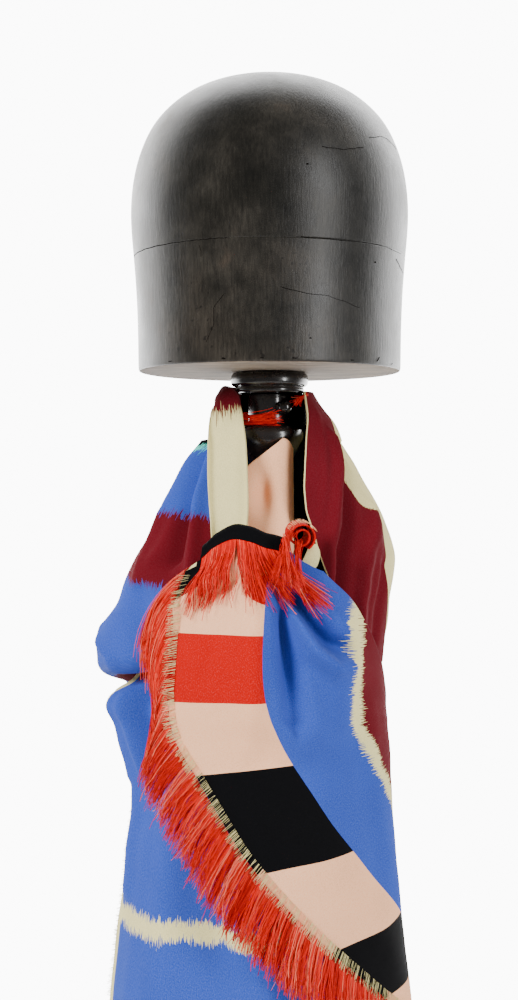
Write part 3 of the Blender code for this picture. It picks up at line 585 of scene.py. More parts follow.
# The back loop, a bell of cloth round the left, the back and the right
backLoop = {
    "across": 230, "down": 120,
    "first": -38.0, "turn": 264.0, "body": 0.8,
    "curlTurn": 200.0, "curlArc": 35.0, "straightArc": 12.0,
    "rumple": (24.0, 0.9, 5.0), "printBehind": 350, "printRadius": 85,
    "spans": [
        (545, -30, -304), (600, -31, -303), (620, -32, -302), (635, -35, -302), (648, -40, -302),
        (662, -48, -302), (675, -56, -300), (686, -64, -298), (709, -78, -290),
    ],
    "rim": [
        (-304, 684), (-285, 690), (-264, 698), (-240, 705), (-180, 708), (-150, 704),
        (-120, 696), (-90, 690), (-45, 686),
    ],
    "sections": [
        (708, 31, 20, 31, 29.2), (700, 34, 22, 37, 39), (688, 43, 25, 45.5, 45),
        (675, 54, 31, 53.5, 57), (662, 61.5, 39, 60, 66), (648, 69.5, 46, 68, 76),
        (635, 75, 51, 74.5, 82), (620, 82, 56, 80, 89), (609, 88.5, 59, 82, 93),
        (596, 95, 62, 81, 97), (582, 99.5, 65, 78.5, 100), (569, 109, 67, 77.5, 103),
        (556, 114, 69, 75.5, 105), (545, 113, 70, 74, 106), (520, 112, 70, 73, 108),
        (480, 108, 70, 73, 107),
    ],
    # angle, height of the hem, how far it curls under
    "hem": [
        (-304, 540, 0.0), (-280, 518, 0.05), (-262, 503, 0.05), (-240, 498, 0.35), (-210, 492, 0.9),
        (-180, 488, 1.0), (-150, 505, 1.0), (-120, 530, 1.0), (-90, 545, 1.0), (-75, 549, 0.8),
        (-60, 558, 0.45), (-30, 568, 0.2),
    ],
    "folds": [
        (6, 6, 5.5, [(-66, 690), (-56, 665), (-50, 640), (-44, 610), (-40, 575)]),
        (7, 6, -10, [(-76, 692), (-65, 665), (-60, 640), (-56, 612)]),
        (9, 9, 3, [(-84, 690), (-76, 650), (-70, 600)]),
        (9, 9, -4, [(-70, 590), (-62, 572), (-54, 556)]),
        (13, 13, -6, [(-104, 700), (-104, 620), (-106, 520)]),
        (12, 12, 6, [(-124, 704), (-128, 600), (-128, 500)]),
        (13, 13, -7, [(-146, 706), (-150, 600), (-150, 490)]),
        (13, 13, 7, [(-168, 708), (-173, 600), (-174, 480)]),
        (12, 12, -8, [(-190, 708), (-194, 600), (-195, 480)]),
        (13, 13, 6, [(-212, 708), (-214, 600), (-214, 480)]),
        (12, 12, -6, [(-232, 708), (-236, 600), (-234, 500)]),
        (14, 14, 4, [(-254, 696), (-256, 640), (-252, 580)]),
    ],
    "finer": [
        (5, 5, 2.0, [(-64, 646), (-66, 612)]),
        (5, 5, 2.0, [(-76, 640), (-73, 596)]),
        (4, 3, 2.4, [(-88, 566), (-82, 556), (-76, 550), (-66, 540)]),
        (4, 5, -2.0, [(-96, 590), (-90, 575), (-86, 560)]),
        (5, 4, 1.6, [(-100, 650), (-98, 610), (-97, 580)]),
        (5, 6, -1.5, [(-115, 690), (-116, 640), (-113, 570)]),
        (6, 5, 1.4, [(-137, 700), (-138, 650), (-140, 590)]),
        (6, 6, -1.4, [(-160, 690), (-162, 620), (-161, 540)]),
        (6, 5, 1.5, [(-182, 700), (-184, 640), (-183, 560)]),
        (5, 6, -1.5, [(-203, 700), (-205, 640), (-204, 550)]),
        (6, 6, 1.4, [(-222, 700), (-225, 640), (-224, 540)]),
        (6, 6, -1.3, [(-244, 690), (-246, 640), (-244, 540)]),
    ],
    # angle, the band at this height, and how many millimetres of cloth pass below and above it
    "printHeight": 680,
    # behind, from -228 to -140, the band at this height is the black one, which also paints the shade
    # inside the neck
    "print": [
        (-304, 282, 0.1, 0.1), (-270, 286, 0.12, 0.1), (-245, 298, 0.3, 0.2),
        (-228, 331, 0.05, 0.05), (-180, 332, 0.05, 0.05), (-140, 336, 1.05, 0.3),
        (-90, 353, 1.1, 1.5), (-38, 356, 1.0, 1.5),
    ],
}


def makeBackLoop():
    across, down = gridShares(backLoop["across"], backLoop["down"])
    level = np.minimum(1.0, down / backLoop["body"])
    rough = backLoop["first"] - backLoop["turn"] * across
    rim, hem = readTable(backLoop["rim"], 1, rough), readTable(backLoop["hem"], 1, rough)
    height = rim + (hem - rim) * level
    spans = backLoop["spans"]
    first, last = readTable(spans, 1, height), readTable(spans, 2, height)
    angle = first + (last - first) * across
    radius = ovalRadius(backLoop["sections"], angle, height)
    radius = radius + foldLift(backLoop["folds"] + backLoop["finer"], angle, height, radius)
    # the hem turns under on an arc that the curl winds up
    curl = np.maximum(readTable(backLoop["hem"], 2, rough), 0.01)
    share = np.clip((down - backLoop["body"]) / (1 - backLoop["body"]), 0, 1)
    turn = math.radians(backLoop["curlTurn"]) * curl
    straight = backLoop["straightArc"]
    arc = (straight + (backLoop["curlArc"] - straight) * curl) / turn
    radius = radius - arc * (1 - np.cos(turn * share))
    points = rumple(polar(angle, radius, height - arc * np.sin(turn * share)), backLoop)
    rows, middle = backLoop["print"], backLoop["printHeight"]
    passed = np.maximum(0, middle - height) + arc * turn * share
    u = readTable(rows, 1, angle) + passed * readTable(rows, 2, angle)
    u = u - np.maximum(0, height - middle) * readTable(rows, 3, angle)
    v = backLoop["printBehind"] + np.radians(angle + 180) * backLoop["printRadius"]
    piece = clothPiece("back_loop_cloth", points, np.stack([u, v], axis=-1))
    return finishPiece(piece, wool, "blue_wool", "back_loop")


backCloth = makeBackLoop()
print("stage: back loop")

# The right strand, a fan of cloth from the neck over the right side
rightStrand = {
    "across": 64, "down": 110, "top": 719.0, "swing": 45.0, "rumple": (18.0, 0.6, 9.0),
    # the print's band on the inner side, its step to the outer one at the top, and the slant
    "print": (222, 74, 6), "outerFrom": (0.62, 1.0), "outerAbove": (632, 652),
    # the place across the cloth on the inner side, the width at the top, and its growth
    "printAcross": (3, 60, 0.9),
    "spans": [
        (545, 31, 70), (580, 29, 68), (600, 28, 66), (622, 26, 66), (634, 24, 66), (643, 22.5, 66),
        (655, 23, 66), (669, 26.5, 67), (679, 30.5, 69), (688, 35, 72), (700, 42, 86),
        (712, 47, 112), (719, 51, 122),
    ],
    "hem": [(20, 567), (45, 545.5), (60, 543.5), (110, 551)],
    "sections": [
        (719, 27, 28.5, 28.5, 28.5), (712, 29, 30, 32.5, 30), (700, 33, 32.5, 41.8, 36),
        (688, 38, 37, 51, 45), (675, 43, 44, 57.5, 50), (662, 49, 50, 64, 56), (648, 54, 55, 72, 60),
        (635, 58, 59, 79, 64), (620, 62, 63, 84.5, 68), (609, 66, 67, 86, 70),
        (596, 70, 70.5, 85.5, 72), (582, 73, 73, 83, 74), (569, 75, 75, 81, 74),
        (556, 77, 77.5, 78.8, 75), (543, 77, 77.5, 76.8, 73),
    ],
    "folds": [
        (5, 5, 6, [(62, 690), (54, 669), (47, 658), (41, 644), (33, 620), (28, 590)]),
        (3.5, 6, -7, [(68, 682), (58, 666), (51, 652), (46, 632), (38, 614), (34, 595)]),
        (4.5, 6, 5.5, [(67, 646), (60, 628), (54, 617), (49, 602), (46, 585), (44, 556)]),
        (5, 5, -3, [(64, 606), (58, 580), (56, 556)]),
    ],
    "finer": [
        (4.5, 5, 1.6, [(58, 704), (44, 672), (32, 640)]),
        (5, 5, 1.5, [(66, 632), (60, 612), (57, 592), (55, 566)]),
    ],
}


def makeRightStrand():
    across, down = gridShares(rightStrand["across"], rightStrand["down"])
    top, spans = rightStrand["top"], rightStrand["spans"]
    topFirst, topLast = readTable(spans, 1, top), readTable(spans, 2, top)
    rough = topFirst + (topLast - topFirst) * across
    foot = readTable(rightStrand["hem"], 1, rough - rightStrand["swing"] * down)
    height = top + (foot - top) * down
    first, last = readTable(spans, 1, height), readTable(spans, 2, height)
    angle = first + (last - first) * across
    radius = ovalRadius(rightStrand["sections"], angle, height)
    radius = radius + foldLift(rightStrand["folds"] + rightStrand["finer"], angle, height, radius)
    points = rumple(polar(angle, radius, height), rightStrand)
    # maroon, with the khaki band along its outer side at the top
    outer = shareOf(across, *rightStrand["outerFrom"]) * shareOf(height, *rightStrand["outerAbove"])
    band, step, slant = rightStrand["print"]
    u = band + step * outer + slant * across
    side, width, growth = rightStrand["printAcross"]
    v = side + across * (width + growth * (top - height))
    piece = clothPiece("right_strand_cloth", points, np.stack([u, v], axis=-1))
    return finishPiece(piece, wool, "maroon_wool", "right_strand")


strandCloth = makeRightStrand()
print("stage: right strand")

# The left strand, a flat gathered band from the neck down to the rolled neckline
leftStrand = {
    "across": 30, "down": 120, "bowFirst": -112.0, "bow": 214.0, "ripple": 0.35,
    # the print: where it turns khaki, the band there, its rate, and how that slows below
    "khakiFrom": 0.36, "print": (262, 84, 30), "printAcross": (100, 38),
    # place, x, y, height, width, the way across it, and its bow
    "rows": [
        (0, -18.0, 22.5, 714, 14, -0.10, 0.10, -1.0, -2.0),
        (1, -26.0, 15.0, 716, 15, -0.20, 0.05, -1.0, -3.0),
        (2, -31.0, 3.5, 716.0, 16, -0.35, -0.10, -0.93, -4.0),
        (2.5, -29.8, -5.5, 715.5, 16, -0.62, -0.10, -0.78, -4.2),
        (3, -28.2, -13.0, 711.5, 18, -0.86, -0.02, -0.50, -3.6),
        (4, -28.2, -22.0, 700, 21.5, -0.97, 0.08, -0.12, 0.5),
        (5, -27.4, -33.0, 683, 24.3, -0.98, 0.12, -0.05, 3.6),
        (6, -26.8, -43.0, 664, 25, -0.98, 0.12, 0.0, 3.6),
        (7, -26.0, -52.0, 649, 24.5, -0.98, 0.14, 0.0, 3.6),
        (8, -25.5, -60.0, 635, 23, -0.98, 0.16, 0.0, 3.6),
        (9, -25.5, -67.0, 621, 21, -0.98, 0.18, 0.0, 3.6),
    ],
}


def makeLeftStrand():
    across, down = gridShares(leftStrand["across"], leftStrand["down"])
    rows = leftStrand["rows"]
    last = rows[-1][0]
    place = down * last

    def columns(names, where):
        return np.stack([readTable(rows, n, where) for n in names], axis=-1)

    centre = columns((1, 2, 3), place)
    before, after = np.maximum(place - 0.4, 0), np.minimum(place + 0.4, last)
    run = unit(columns((1, 2, 3), after) - columns((1, 2, 3), before))
    side = unit(columns((5, 6, 7), place))
    side = unit(side - run * np.sum(side * run, axis=-1, keepdims=True))
    outward = np.cross(run, side)
    turn = np.radians(leftStrand["bowFirst"] + leftStrand["bow"] * across)[..., None]
    half = 0.5 * readTable(rows, 4, place)[..., None]
    bow = readTable(rows, 8, place)[..., None]
    points = centre + side * half * np.sin(turn) + outward * bow * np.cos(turn)
    ripple = leftStrand["ripple"] * np.sin(17 * across + 2 * down) * np.sin(math.pi * down)
    points = points + outward * ripple[..., None]
    # maroon at the neck, and khaki from there down
    below = down - leftStrand["khakiFrom"]
    band, rate, slowing = leftStrand["print"]
    u = band + rate * below - (below > 0) * slowing * below ** 2
    side, width = leftStrand["printAcross"]
    v = side + across * width
    piece = clothPiece("left_strand_cloth", points, np.stack([u, v], axis=-1))
    return finishPiece(piece, wool, "olive_wool", "left_strand")


leftCloth = makeLeftStrand()

# The wrap behind the shaft, which carries both strands
neckWrap = {
    "across": 90, "down": 24, "radius": 23.3, "first": 71.0, "last": 232.0,
    "top": 719.0, "bottom": 697.6, "bow": 0.9, "ripple": 0.25,
    # the print is the black band, which paints the shade inside the neck
    "print": (322, 18), "printAcross": (200, 24),
}


def makeNeckWrap():
    across, down = gridShares(neckWrap["across"], neckWrap["down"])
    height = neckWrap["top"] + (neckWrap["bottom"] - neckWrap["top"]) * down
    angle = neckWrap["first"] + (neckWrap["last"] - neckWrap["first"]) * across
    ripple = neckWrap["ripple"] * np.sin(9 * down + 3 * across)
    radius = neckWrap["radius"] + neckWrap["bow"] * np.sin(math.pi * down) + ripple
    points = polar(angle, radius, height)
    (band, step), (side, width) = neckWrap["print"], neckWrap["printAcross"]
    cloth = np.stack([band + step * across, side + down * width], axis=-1)
    piece = clothPiece("neck_wrap_cloth", points, cloth)
    return finishPiece(piece, wool, "black_wool", "neck_wrap")


wrapCloth = makeNeckWrap()

# The inner fold that shows between the strands
innerFold = {
    "across": 40, "down": 70, "foot": 603.0,
    "crest": [(-21, 662), (-13, 671.5), (-4, 678.5), (5, 685.5), (9, 688.5), (12, 687), (15, 682)],
    "depth": [(600, -63), (615, -57), (630, -49), (650, -38), (670, -29), (690, -22.7)],
    "hollow": 9.5, "hollowX": -4.0, "hollowWidth": 6.2, "hollowZ": 651.0, "hollowHeight": 13.0,
    # how far the right side turns back, from which x and over what width; the hollow bow of all
    "turnBack": 5.0, "turnFrom": 10, "turnWidth": 5, "bow": 0.008,
    "print": 20, "printAcross": (215, 40),
}


def makeInnerFold():
    across, down = gridShares(innerFold["across"], innerFold["down"])
    crest = innerFold["crest"]
    x = crest[0][0] + (crest[-1][0] - crest[0][0]) * across
    top = readTable(crest, 1, x)
    height = top + (innerFold["foot"] - top) * down
    y = readTable(innerFold["depth"], 1, height)
    beside = (x - innerFold["hollowX"]) / innerFold["hollowWidth"]
    above = (height - innerFold["hollowZ"]) / innerFold["hollowHeight"]
    hollow = innerFold["hollow"] * np.exp(-(beside**2) - above**2)
    turned = np.clip((x - innerFold["turnFrom"]) / innerFold["turnWidth"], 0, 1)
    y = y + innerFold["bow"] * x * x + hollow + innerFold["turnBack"] * turned ** 2
    points = np.stack([x, y, height], axis=-1)
    side, width = innerFold["printAcross"]
    cloth = np.stack([innerFold["print"] + 0 * x, side + width * across], axis=-1)
    piece = clothPiece("inner_fold_cloth", points, cloth)
    return finishPiece(piece, wool, "blush_wool", "inner_fold")


innerCloth = makeInnerFold()
print("stage: neck strands")

# The under tail, behind the front tail and down the left side
underTail = {
    "across": 150, "down": 170, "first": -86.0, "last": 82.0, "foot": 130.0, "crowding": 1.1,
    "rumple": (30.0, 0.8, 12.0), "printAcross": (-7, 300),
    "rim": [(-90, 555), (-55, 541), (-10, 518), (40, 495), (80, 480)],
    "sections": [
        (130, 116, 90, 92, 90), (250, 110, 84, 87, 88),
        (320, 105, 80, 83, 84), (345, 102.5, 79, 81, 83),
        (371, 99.3, 77, 82.3, 82), (398, 95.3, 76, 80.8, 80), (424, 92.7, 75, 78.8, 78),
        (450, 88.7, 74, 72, 76), (464, 88.3, 73.5, 72, 75), (477, 90.7, 73, 71, 74),
        (490, 95, 72, 70, 72), (503, 98.5, 71, 69, 71), (515, 104.5, 67, 69, 70),
        (523, 102, 63, 68, 68), (531, 90, 60, 66, 66), (540, 84, 56, 64, 64), (556, 80, 52, 60, 60),
    ],
    "folds": [
        (9, 9, -6, [(-64, 524), (-61, 500), (-58, 470)]),
        (9, 9, 4, [(-77, 516), (-76, 470), (-75, 400)]),
        (16, 16, 4, [(-46, 480), (-52, 330), (-54, 130)]),
        (16, 16, -5, [(-26, 470), (-28, 330), (-30, 130)]),
        (17, 17, 5, [(-4, 440), (-3, 300), (-2, 130)]),
        (16, 16, -5, [(20, 430), (22, 300), (24, 130)]),
        (17, 17, 4, [(46, 420), (47, 300), (48, 130)]),
        (15, 15, -4, [(72, 420), (72, 300), (74, 130)]),
    ],
    "finer": [
        (4, 4, 3.4, [(-73, 524), (-71, 505), (-68, 476)]),
        (4, 4, 2.4, [(-80, 522), (-80, 500), (-79, 470)]),
        (3.5, 3.5, -13, [(-58, 531), (-56, 512), (-54, 494)]),
        (3.5, 4, -5, [(-67, 526), (-65, 505), (-62, 480)]),
        (8, 10, 1.2, [(-64, 440), (-66, 330), (-67, 180)]),
        (9, 7, -1.1, [(-38, 420), (-40, 300), (-40, 180)]),
        (8, 8, 1.0, [(-14, 380), (-15, 260), (-16, 150)]),
    ],
}


def underRadius(angle, height):
    radius = ovalRadius(underTail["sections"], angle, height)
    return radius + foldLift(underTail["folds"] + underTail["finer"], angle, height, radius)


def makeUnderTail():
    across, down = gridShares(underTail["across"], underTail["down"])
    angle = underTail["first"] + (underTail["last"] - underTail["first"]) * across
    top = readTable(underTail["rim"], 1, angle)
    height = top + (underTail["foot"] - top) * down ** underTail["crowding"]
    points = rumple(polar(angle, underRadius(angle, height), height), underTail)
    u = printed["length"] - (height - underTail["foot"])
    side, width = underTail["printAcross"]
    v = side + across * width
    piece = clothPiece("under_tail_cloth", points, np.stack([u, v], axis=-1))
    return finishPiece(piece, wool, "blue_wool", "under_tail")


underCloth = makeUnderTail()
print("stage: under tail")

# The rolled neckline, a turned edge that hooks over the top of the front tail
neckline = {
    "across": 80, "down": 30, "first": -28.0, "last": 6.8, "roll": 3.9, "drop": 5.0, "lift": 6.5,
    "out": 1.8, "turnFirst": -85.0, "turn": 175.0, "turnShare": 0.75, "flare": 0.35,
    "rumple": (7.0, 0.5, 2.0), "print": 20, "printAcross": (142, 44),
}


def necklinePoints(across, down):
    angle = neckline["first"] + (neckline["last"] - neckline["first"]) * across
    crest = readTable(frontTail["crest"], 1, angle)
    radius = tailRadius(angle, crest) + neckline["out"]
    share = neckline["turnShare"]
    turn = np.radians(neckline["turnFirst"] + neckline["turn"] * np.minimum(1.0, down / share))
    drop = neckline["drop"] * np.clip((down - share) / (1 - share), 0, 1)
    radius = radius + neckline["roll"] * np.sin(turn) + neckline["flare"] * drop
    height = crest + neckline["lift"] + neckline["roll"] * (np.cos(turn) - 1) - drop
    return polar(angle, radius, height)


def makeNeckline():
    across, down = gridShares(neckline["across"], neckline["down"])
    points = rumple(necklinePoints(across, down), neckline)
    side, width = neckline["printAcross"]
    cloth = np.stack([neckline["print"] + 0 * across, side + width * across], axis=-1)
    piece = clothPiece("rolled_neckline_cloth", points, cloth)
    return finishPiece(piece, wool, "black_wool", "rolled_neckline")


necklineCloth = makeNeckline()

# The rolled corner at the neckline's right end, and the tip of cloth that hangs from it
rolledCorner = {
    "across": 60, "down": 24, "centre": (17.6, -80.0, 627.6), "axis": (0.18, -0.97, -0.12),
    "radius": 8.6, "length": 18.0, "turnFirst": -60.0, "turn": 620.0, "tighter": 5.4,
    "ripple": 0.7, "rumple": (6.0, 0.5, 8.0), "print": 20, "printAcross": (50, 30),
}
cornerTip = {
    "across": 24, "down": 30, "radius": 78.3, "bow": 1.2,
    "print": (290, 20), "printAcross": (300, 12),
    # height, left, right
    "rows": [(621.8, 24.4, 28.4), (616, 22.0, 30.5), (609.5, 19.0, 29.3), (601, 17.5, 20.5)],
}


def makeCorner():
    across, down = gridShares(rolledCorner["across"], rolledCorner["down"])
    axis = Vector(rolledCorner["axis"]).normalized()
    rightward = Vector((0, 0, 1)).cross(axis).normalized()
    upward = axis.cross(rightward)
    turn = np.radians(rolledCorner["turnFirst"] + rolledCorner["turn"] * across)[..., None]
    radius = (rolledCorner["radius"] - rolledCorner["tighter"] * across)[..., None]
    ripple = rolledCorner["ripple"] * np.sin(11 * across)
    out = (rolledCorner["length"] * (0.5 - down) + ripple)[..., None]
    points = np.array(rolledCorner["centre"]) + np.array(axis) * out
    points = points + np.array(rightward) * radius * np.cos(turn)
    points = points + np.array(upward) * radius * np.sin(turn)
    side, width = rolledCorner["printAcross"]
    cloth = np.stack([rolledCorner["print"] + 0 * across, side + width * across], axis=-1)
    piece = clothPiece("rolled_corner_cloth", rumple(points, rolledCorner), cloth)
    finishPiece(piece, wool, "red_fringe", "rolled_corner")

    across, down = gridShares(cornerTip["across"], cornerTip["down"])
    rows = cornerTip["rows"]
    height = rows[0][0] + (rows[-1][0] - rows[0][0]) * down
    left, right = readTable(rows, 1, height), readTable(rows, 2, height)
    x = left + (right - left) * across
    bow = cornerTip["radius"] + cornerTip["bow"] * np.sin(math.pi * across)
    points = np.stack([x, -np.sqrt(bow**2 - x * x), height], axis=-1)
    (band, step), (side, width) = cornerTip["print"], cornerTip["printAcross"]
    cloth = np.stack([band + step * down, side + width * across], axis=-1)
    tip = clothPiece("corner_tip_cloth", points, cloth)
    finishPiece(tip, wool, "olive_wool", "corner_tip")
    return piece, tip


cornerCloth, tipCloth = makeCorner()
print("stage: neckline and corner")

# The fringe: loose threads in clumps, rooted along the two ends
fringe = {
    "length": 40.0, "thread": 0.52,
    # the width of a clump on the edge and on the hem, how far apart clumps stand in such
    # widths, and how far a thread is drawn to its clump
    "edgeClump": 6.0, "hemClump": 4.0, "clumpStep": (0.5, 1.6), "pull": (0.6, 0.22),
    "edgeTop": 612.0, "edgeFoot": 175.0, "edgeGap": 0.2,
    # threads a millimetre, thickness, points a thread, lowest and highest lift, and at the tips
    "upper": (4.9, 0.52, 10, 0.6, 2.0, 2.8), "lower": (3.2, 0.8, 7, 0.3, 0.7, 0.8),
    # height, and how steeply the threads fall there, in degrees below level
    "lean": [
        (612, 28), (590, 42), (557, 58), (530, 58), (512, 46), (489, 43), (470, 46), (452, 53),
        (421, 58), (392, 67), (370, 74), (343, 78), (280, 82), (168, 85),
    ],
    # the frayed threads: their length, how far in they start, and how many a millimetre
    "frayed": 8.0, "frayedIn": 5.0, "frayedPerMillimetre": 2.6,
    "hemThreads": 900, "necklineThreads": 520, "necklineLength": (31, 4.5),
    # the clumps' places along the neckline
    "necklineClumps": [
        0.03, 0.12, 0.2, 0.27, 0.36, 0.45, 0.52, 0.6, 0.68, 0.74, 0.8, 0.86, 0.92, 0.98,
    ],
}
# where the print is plain pale cloth, for the loose pale threads: along and across the cloth
paleCloth = (285.0, 10.0)


def edgePoints(arc, reach, lean):
    # where a thread that leaves the edge at this arc has got to, reach along its way
    angle = np.interp(arc, edgeArc, edgeAngle)
    height = np.interp(arc, edgeArc, edgeHeight)
    lean = np.radians(np.minimum(89, lean))
    radius = tailRadius(angle, height)
    angle = angle - np.degrees(np.cos(lean) * reach / radius)
    low = height - np.sin(lean) * reach
    return angle, np.maximum(radius - 1.0, tailRadius(angle, low)), low


def edgeThreads(name, layer):
    perMillimetre, thickness, steps, lowest, highest, tipLift = fringe[layer]
    first = np.interp(-fringe["edgeTop"], -edgeHeight, edgeArc)
    last = np.interp(-fringe["edgeFoot"], -edgeHeight, edgeArc)
    count = int((last - first) * perMillimetre)
    arc = np.sort(random.uniform(first, last, count))
    # uneven clumps: their middles drift, and some gaps stay open
    middles = np.cumsum(random.uniform(*fringe["clumpStep"], 400)) * fringe["edgeClump"] + first - 5
    nearest = np.abs(arc[:, None] - middles[None]).argmin(axis=1)
    pull = np.clip(random.normal(*fringe["pull"], count), 0, 1.05)
    high = shareOf(np.interp(arc, edgeArc, edgeHeight), 500, 590)
    length = fringe["length"] * (random.normal(0.93, 0.10, count) + 0.14 * high)
    t = np.linspace(0, 1, steps)[None]
    wave = random.uniform(0, math.tau, len(middles))[nearest][:, None]
    own = random.normal(0, 1, (count, 1)) * np.where(random.random((count, 1)) < 0.07, 3.0, 1.0)
    size = (0.8 + 2.6 * high)[:, None]
    crimp = random.uniform(0.1, 0.5, (count, 1))
    crimp = crimp * np.sin(random.uniform(11, 19, (count, 1)) * t + 9 * own)
    bend = size * np.sin(4.4 * t + wave) * t + own * 2.0 * t**2.5 + crimp * np.minimum(1, 3 * t)
    where = arc[:, None] + (middles[nearest] - arc)[:, None] * pull[:, None] * t**1.5 + bend
    where = np.clip(where, 0, edgeArc[-1])
    root = np.interp(where, edgeArc, edgeHeight)
    lean = readTable(fringe["lean"], 1, root) + t * (8 + 22 * shareOf(root, 520, 590))
    angle, radius, height = edgePoints(where, fringe["edgeGap"] + length[:, None] * t, lean)
    above = random.uniform(lowest, highest, (count, 1))
    lift = above + tipLift * random.uniform(0.3, 1.3, (count, 1)) * t
    height = height - 5 * high[:, None] * t**2
    paths = polar(angle, radius + lift, height)
    # paler at the top, darker low down, darker the nearer a thread lies to the cloth, which paints shade
    # under the fringe, and each clump with a tone of its own
    paler = 0.14 * high - 0.2 * shareOf(arc, 300, 520)
    paler = paler + random.normal(0, 0.12, len(middles))[nearest]
    tones = np.clip(random.normal(0.46, 0.2, count) + 0.08 * above[:, 0] + paler, 0, 1)
    return strandPiece(name, paths, thickness * random.uniform(0.75, 1.25, count), tones)


def makeEdgeFringe():
    upper = edgeThreads("fringe_edge_threads", "upper")
    finishPiece(upper, fringeSilk, "red_fringe", "fringe_edge")
    lower = edgeThreads("fringe_edge_lower_threads", "lower")
    finishPiece(lower, fringeSilk, "red_fringe")
    return [upper, lower]


def makeFrayedEdge():
    # the last of the cloth's own threads, and bare pale ones, loose over the fringe's roots
    count = int(edgeArc[-1] * fringe["frayedPerMillimetre"])
    arc = np.sort(random.uniform(8, edgeArc[-1] - 4, count))
    t = np.linspace(0, 1, 4)[None]
    length = fringe["frayed"] * random.uniform(0.75, 1.2, count)[:, None]
    slant = random.normal(0, 0.6, (count, 1))
    where = np.clip(arc[:, None] + slant * t, 0, edgeArc[-1])
    # square to the edge, drooping a little
    run = np.gradient(np.radians(edgeAngle)) * frontTail["printRadius"]
    steep = np.arctan2(-np.gradient(edgeHeight), run)
    lean = np.clip(90 - np.degrees(np.interp(where, edgeArc, steep)), 0, 80) + 12
    angle, radius, height = edgePoints(where, -fringe["frayedIn"] + length * t, lean)
    lift = 0.9 + 1.3 * t + random.uniform(0, 0.5, (count, 1))
    paths = polar(angle, radius + lift, height)
    bare = random.random(count) < 0.48
    cloth = np.stack([np.where(bare, 290.0, 4.0), np.where(bare, 20.0, arc)], axis=1)
    thickness = random.uniform(0.26, 0.42, count)
    piece = strandPiece("frayed_edge_threads", paths, thickness, np.full(count, 0.5), cloth)
    return finishPiece(piece, wool, "blue_wool")


def makeNecklineFringe():
    count = fringe["necklineThreads"]
    share = np.sort(random.uniform(0.02, 0.99, count))
    clumps = np.array(fringe["necklineClumps"])
    nearest = np.abs(share[:, None] - clumps[None]).argmin(axis=1)
    root = necklinePoints(share, np.ones(count))
    angle = np.degrees(np.arctan2(root[:, 0], -root[:, 1]))[:, None]
    t = np.linspace(0, 1, 8)[None]
    length = random.normal(*fringe["necklineLength"], count)[:, None]
    sweep = (17 * shareOf(share, 0.25, 0.9) - 2.5)[:, None]
    sweep = sweep + random.normal(0, 1.6, len(clumps))[nearest][:, None]
    gather = ((clumps[nearest] - share) * (neckline["last"] - neckline["first"]))[:, None]
    own = random.normal(0, 1.3, (count, 1)) * np.where(random.random((count, 1)) < 0.1, 3.0, 1.0)
    angle = angle + sweep * t**1.3 + gather * t**1.4 + own * t**2
    low = root[:, 2][:, None] - length * t
    radius = np.hypot(root[:, 0], root[:, 1])[:, None]
    outer = tailRadius(angle, low) + 3.0
    lift = random.uniform(0, 2.2, (count, 1)) * np.minimum(1, 2 * t)
    paths = polar(angle, np.maximum(radius + 0.5, outer) + lift, low)
    tones = np.clip(random.normal(0.5, 0.22, count), 0, 1)
    thickness = fringe["thread"] * random.uniform(0.8, 1.25, count)
    piece = strandPiece("fringe_neckline_threads", paths, thickness, tones)
    return finishPiece(piece, fringeSilk, "red_fringe", "fringe_neckline")


def makeHemFringe():
    first, last = underTail["first"] + 0.6, underTail["last"] - 0.6
    count = fringe["hemThreads"]
    start = np.sort(random.uniform(first, last, count))
    middles = np.cumsum(random.uniform(*fringe["clumpStep"], 120)) * fringe["hemClump"] + first - 3
    nearest = np.abs(start[:, None] - middles[None]).argmin(axis=1)
    t = np.linspace(0, 1, 6)[None]
    gather = (middles[nearest] - start)[:, None] * random.uniform(0.3, 0.9, (count, 1))
    angle = start[:, None] + gather * t**1.5 + random.normal(0, 0.7, (count, 1)) * t**2
    foot = underTail["foot"]
    radius = underRadius(start, np.full(count, foot))[:, None]
    radius = radius + random.uniform(-0.5, 0.5, (count, 1)) * (1 + t)
    height = foot - fringe["length"] * random.normal(0.97, 0.05, (count, 1)) * t
    paths = polar(angle, radius, height)
    tones = np.clip(random.normal(0.5, 0.22, count), 0, 1)
    thickness = fringe["thread"] * random.uniform(0.8, 1.25, count)
    piece = strandPiece("fringe_hem_threads", paths, thickness, tones)
    return finishPiece(piece, fringeSilk, "red_fringe", "fringe_hem")


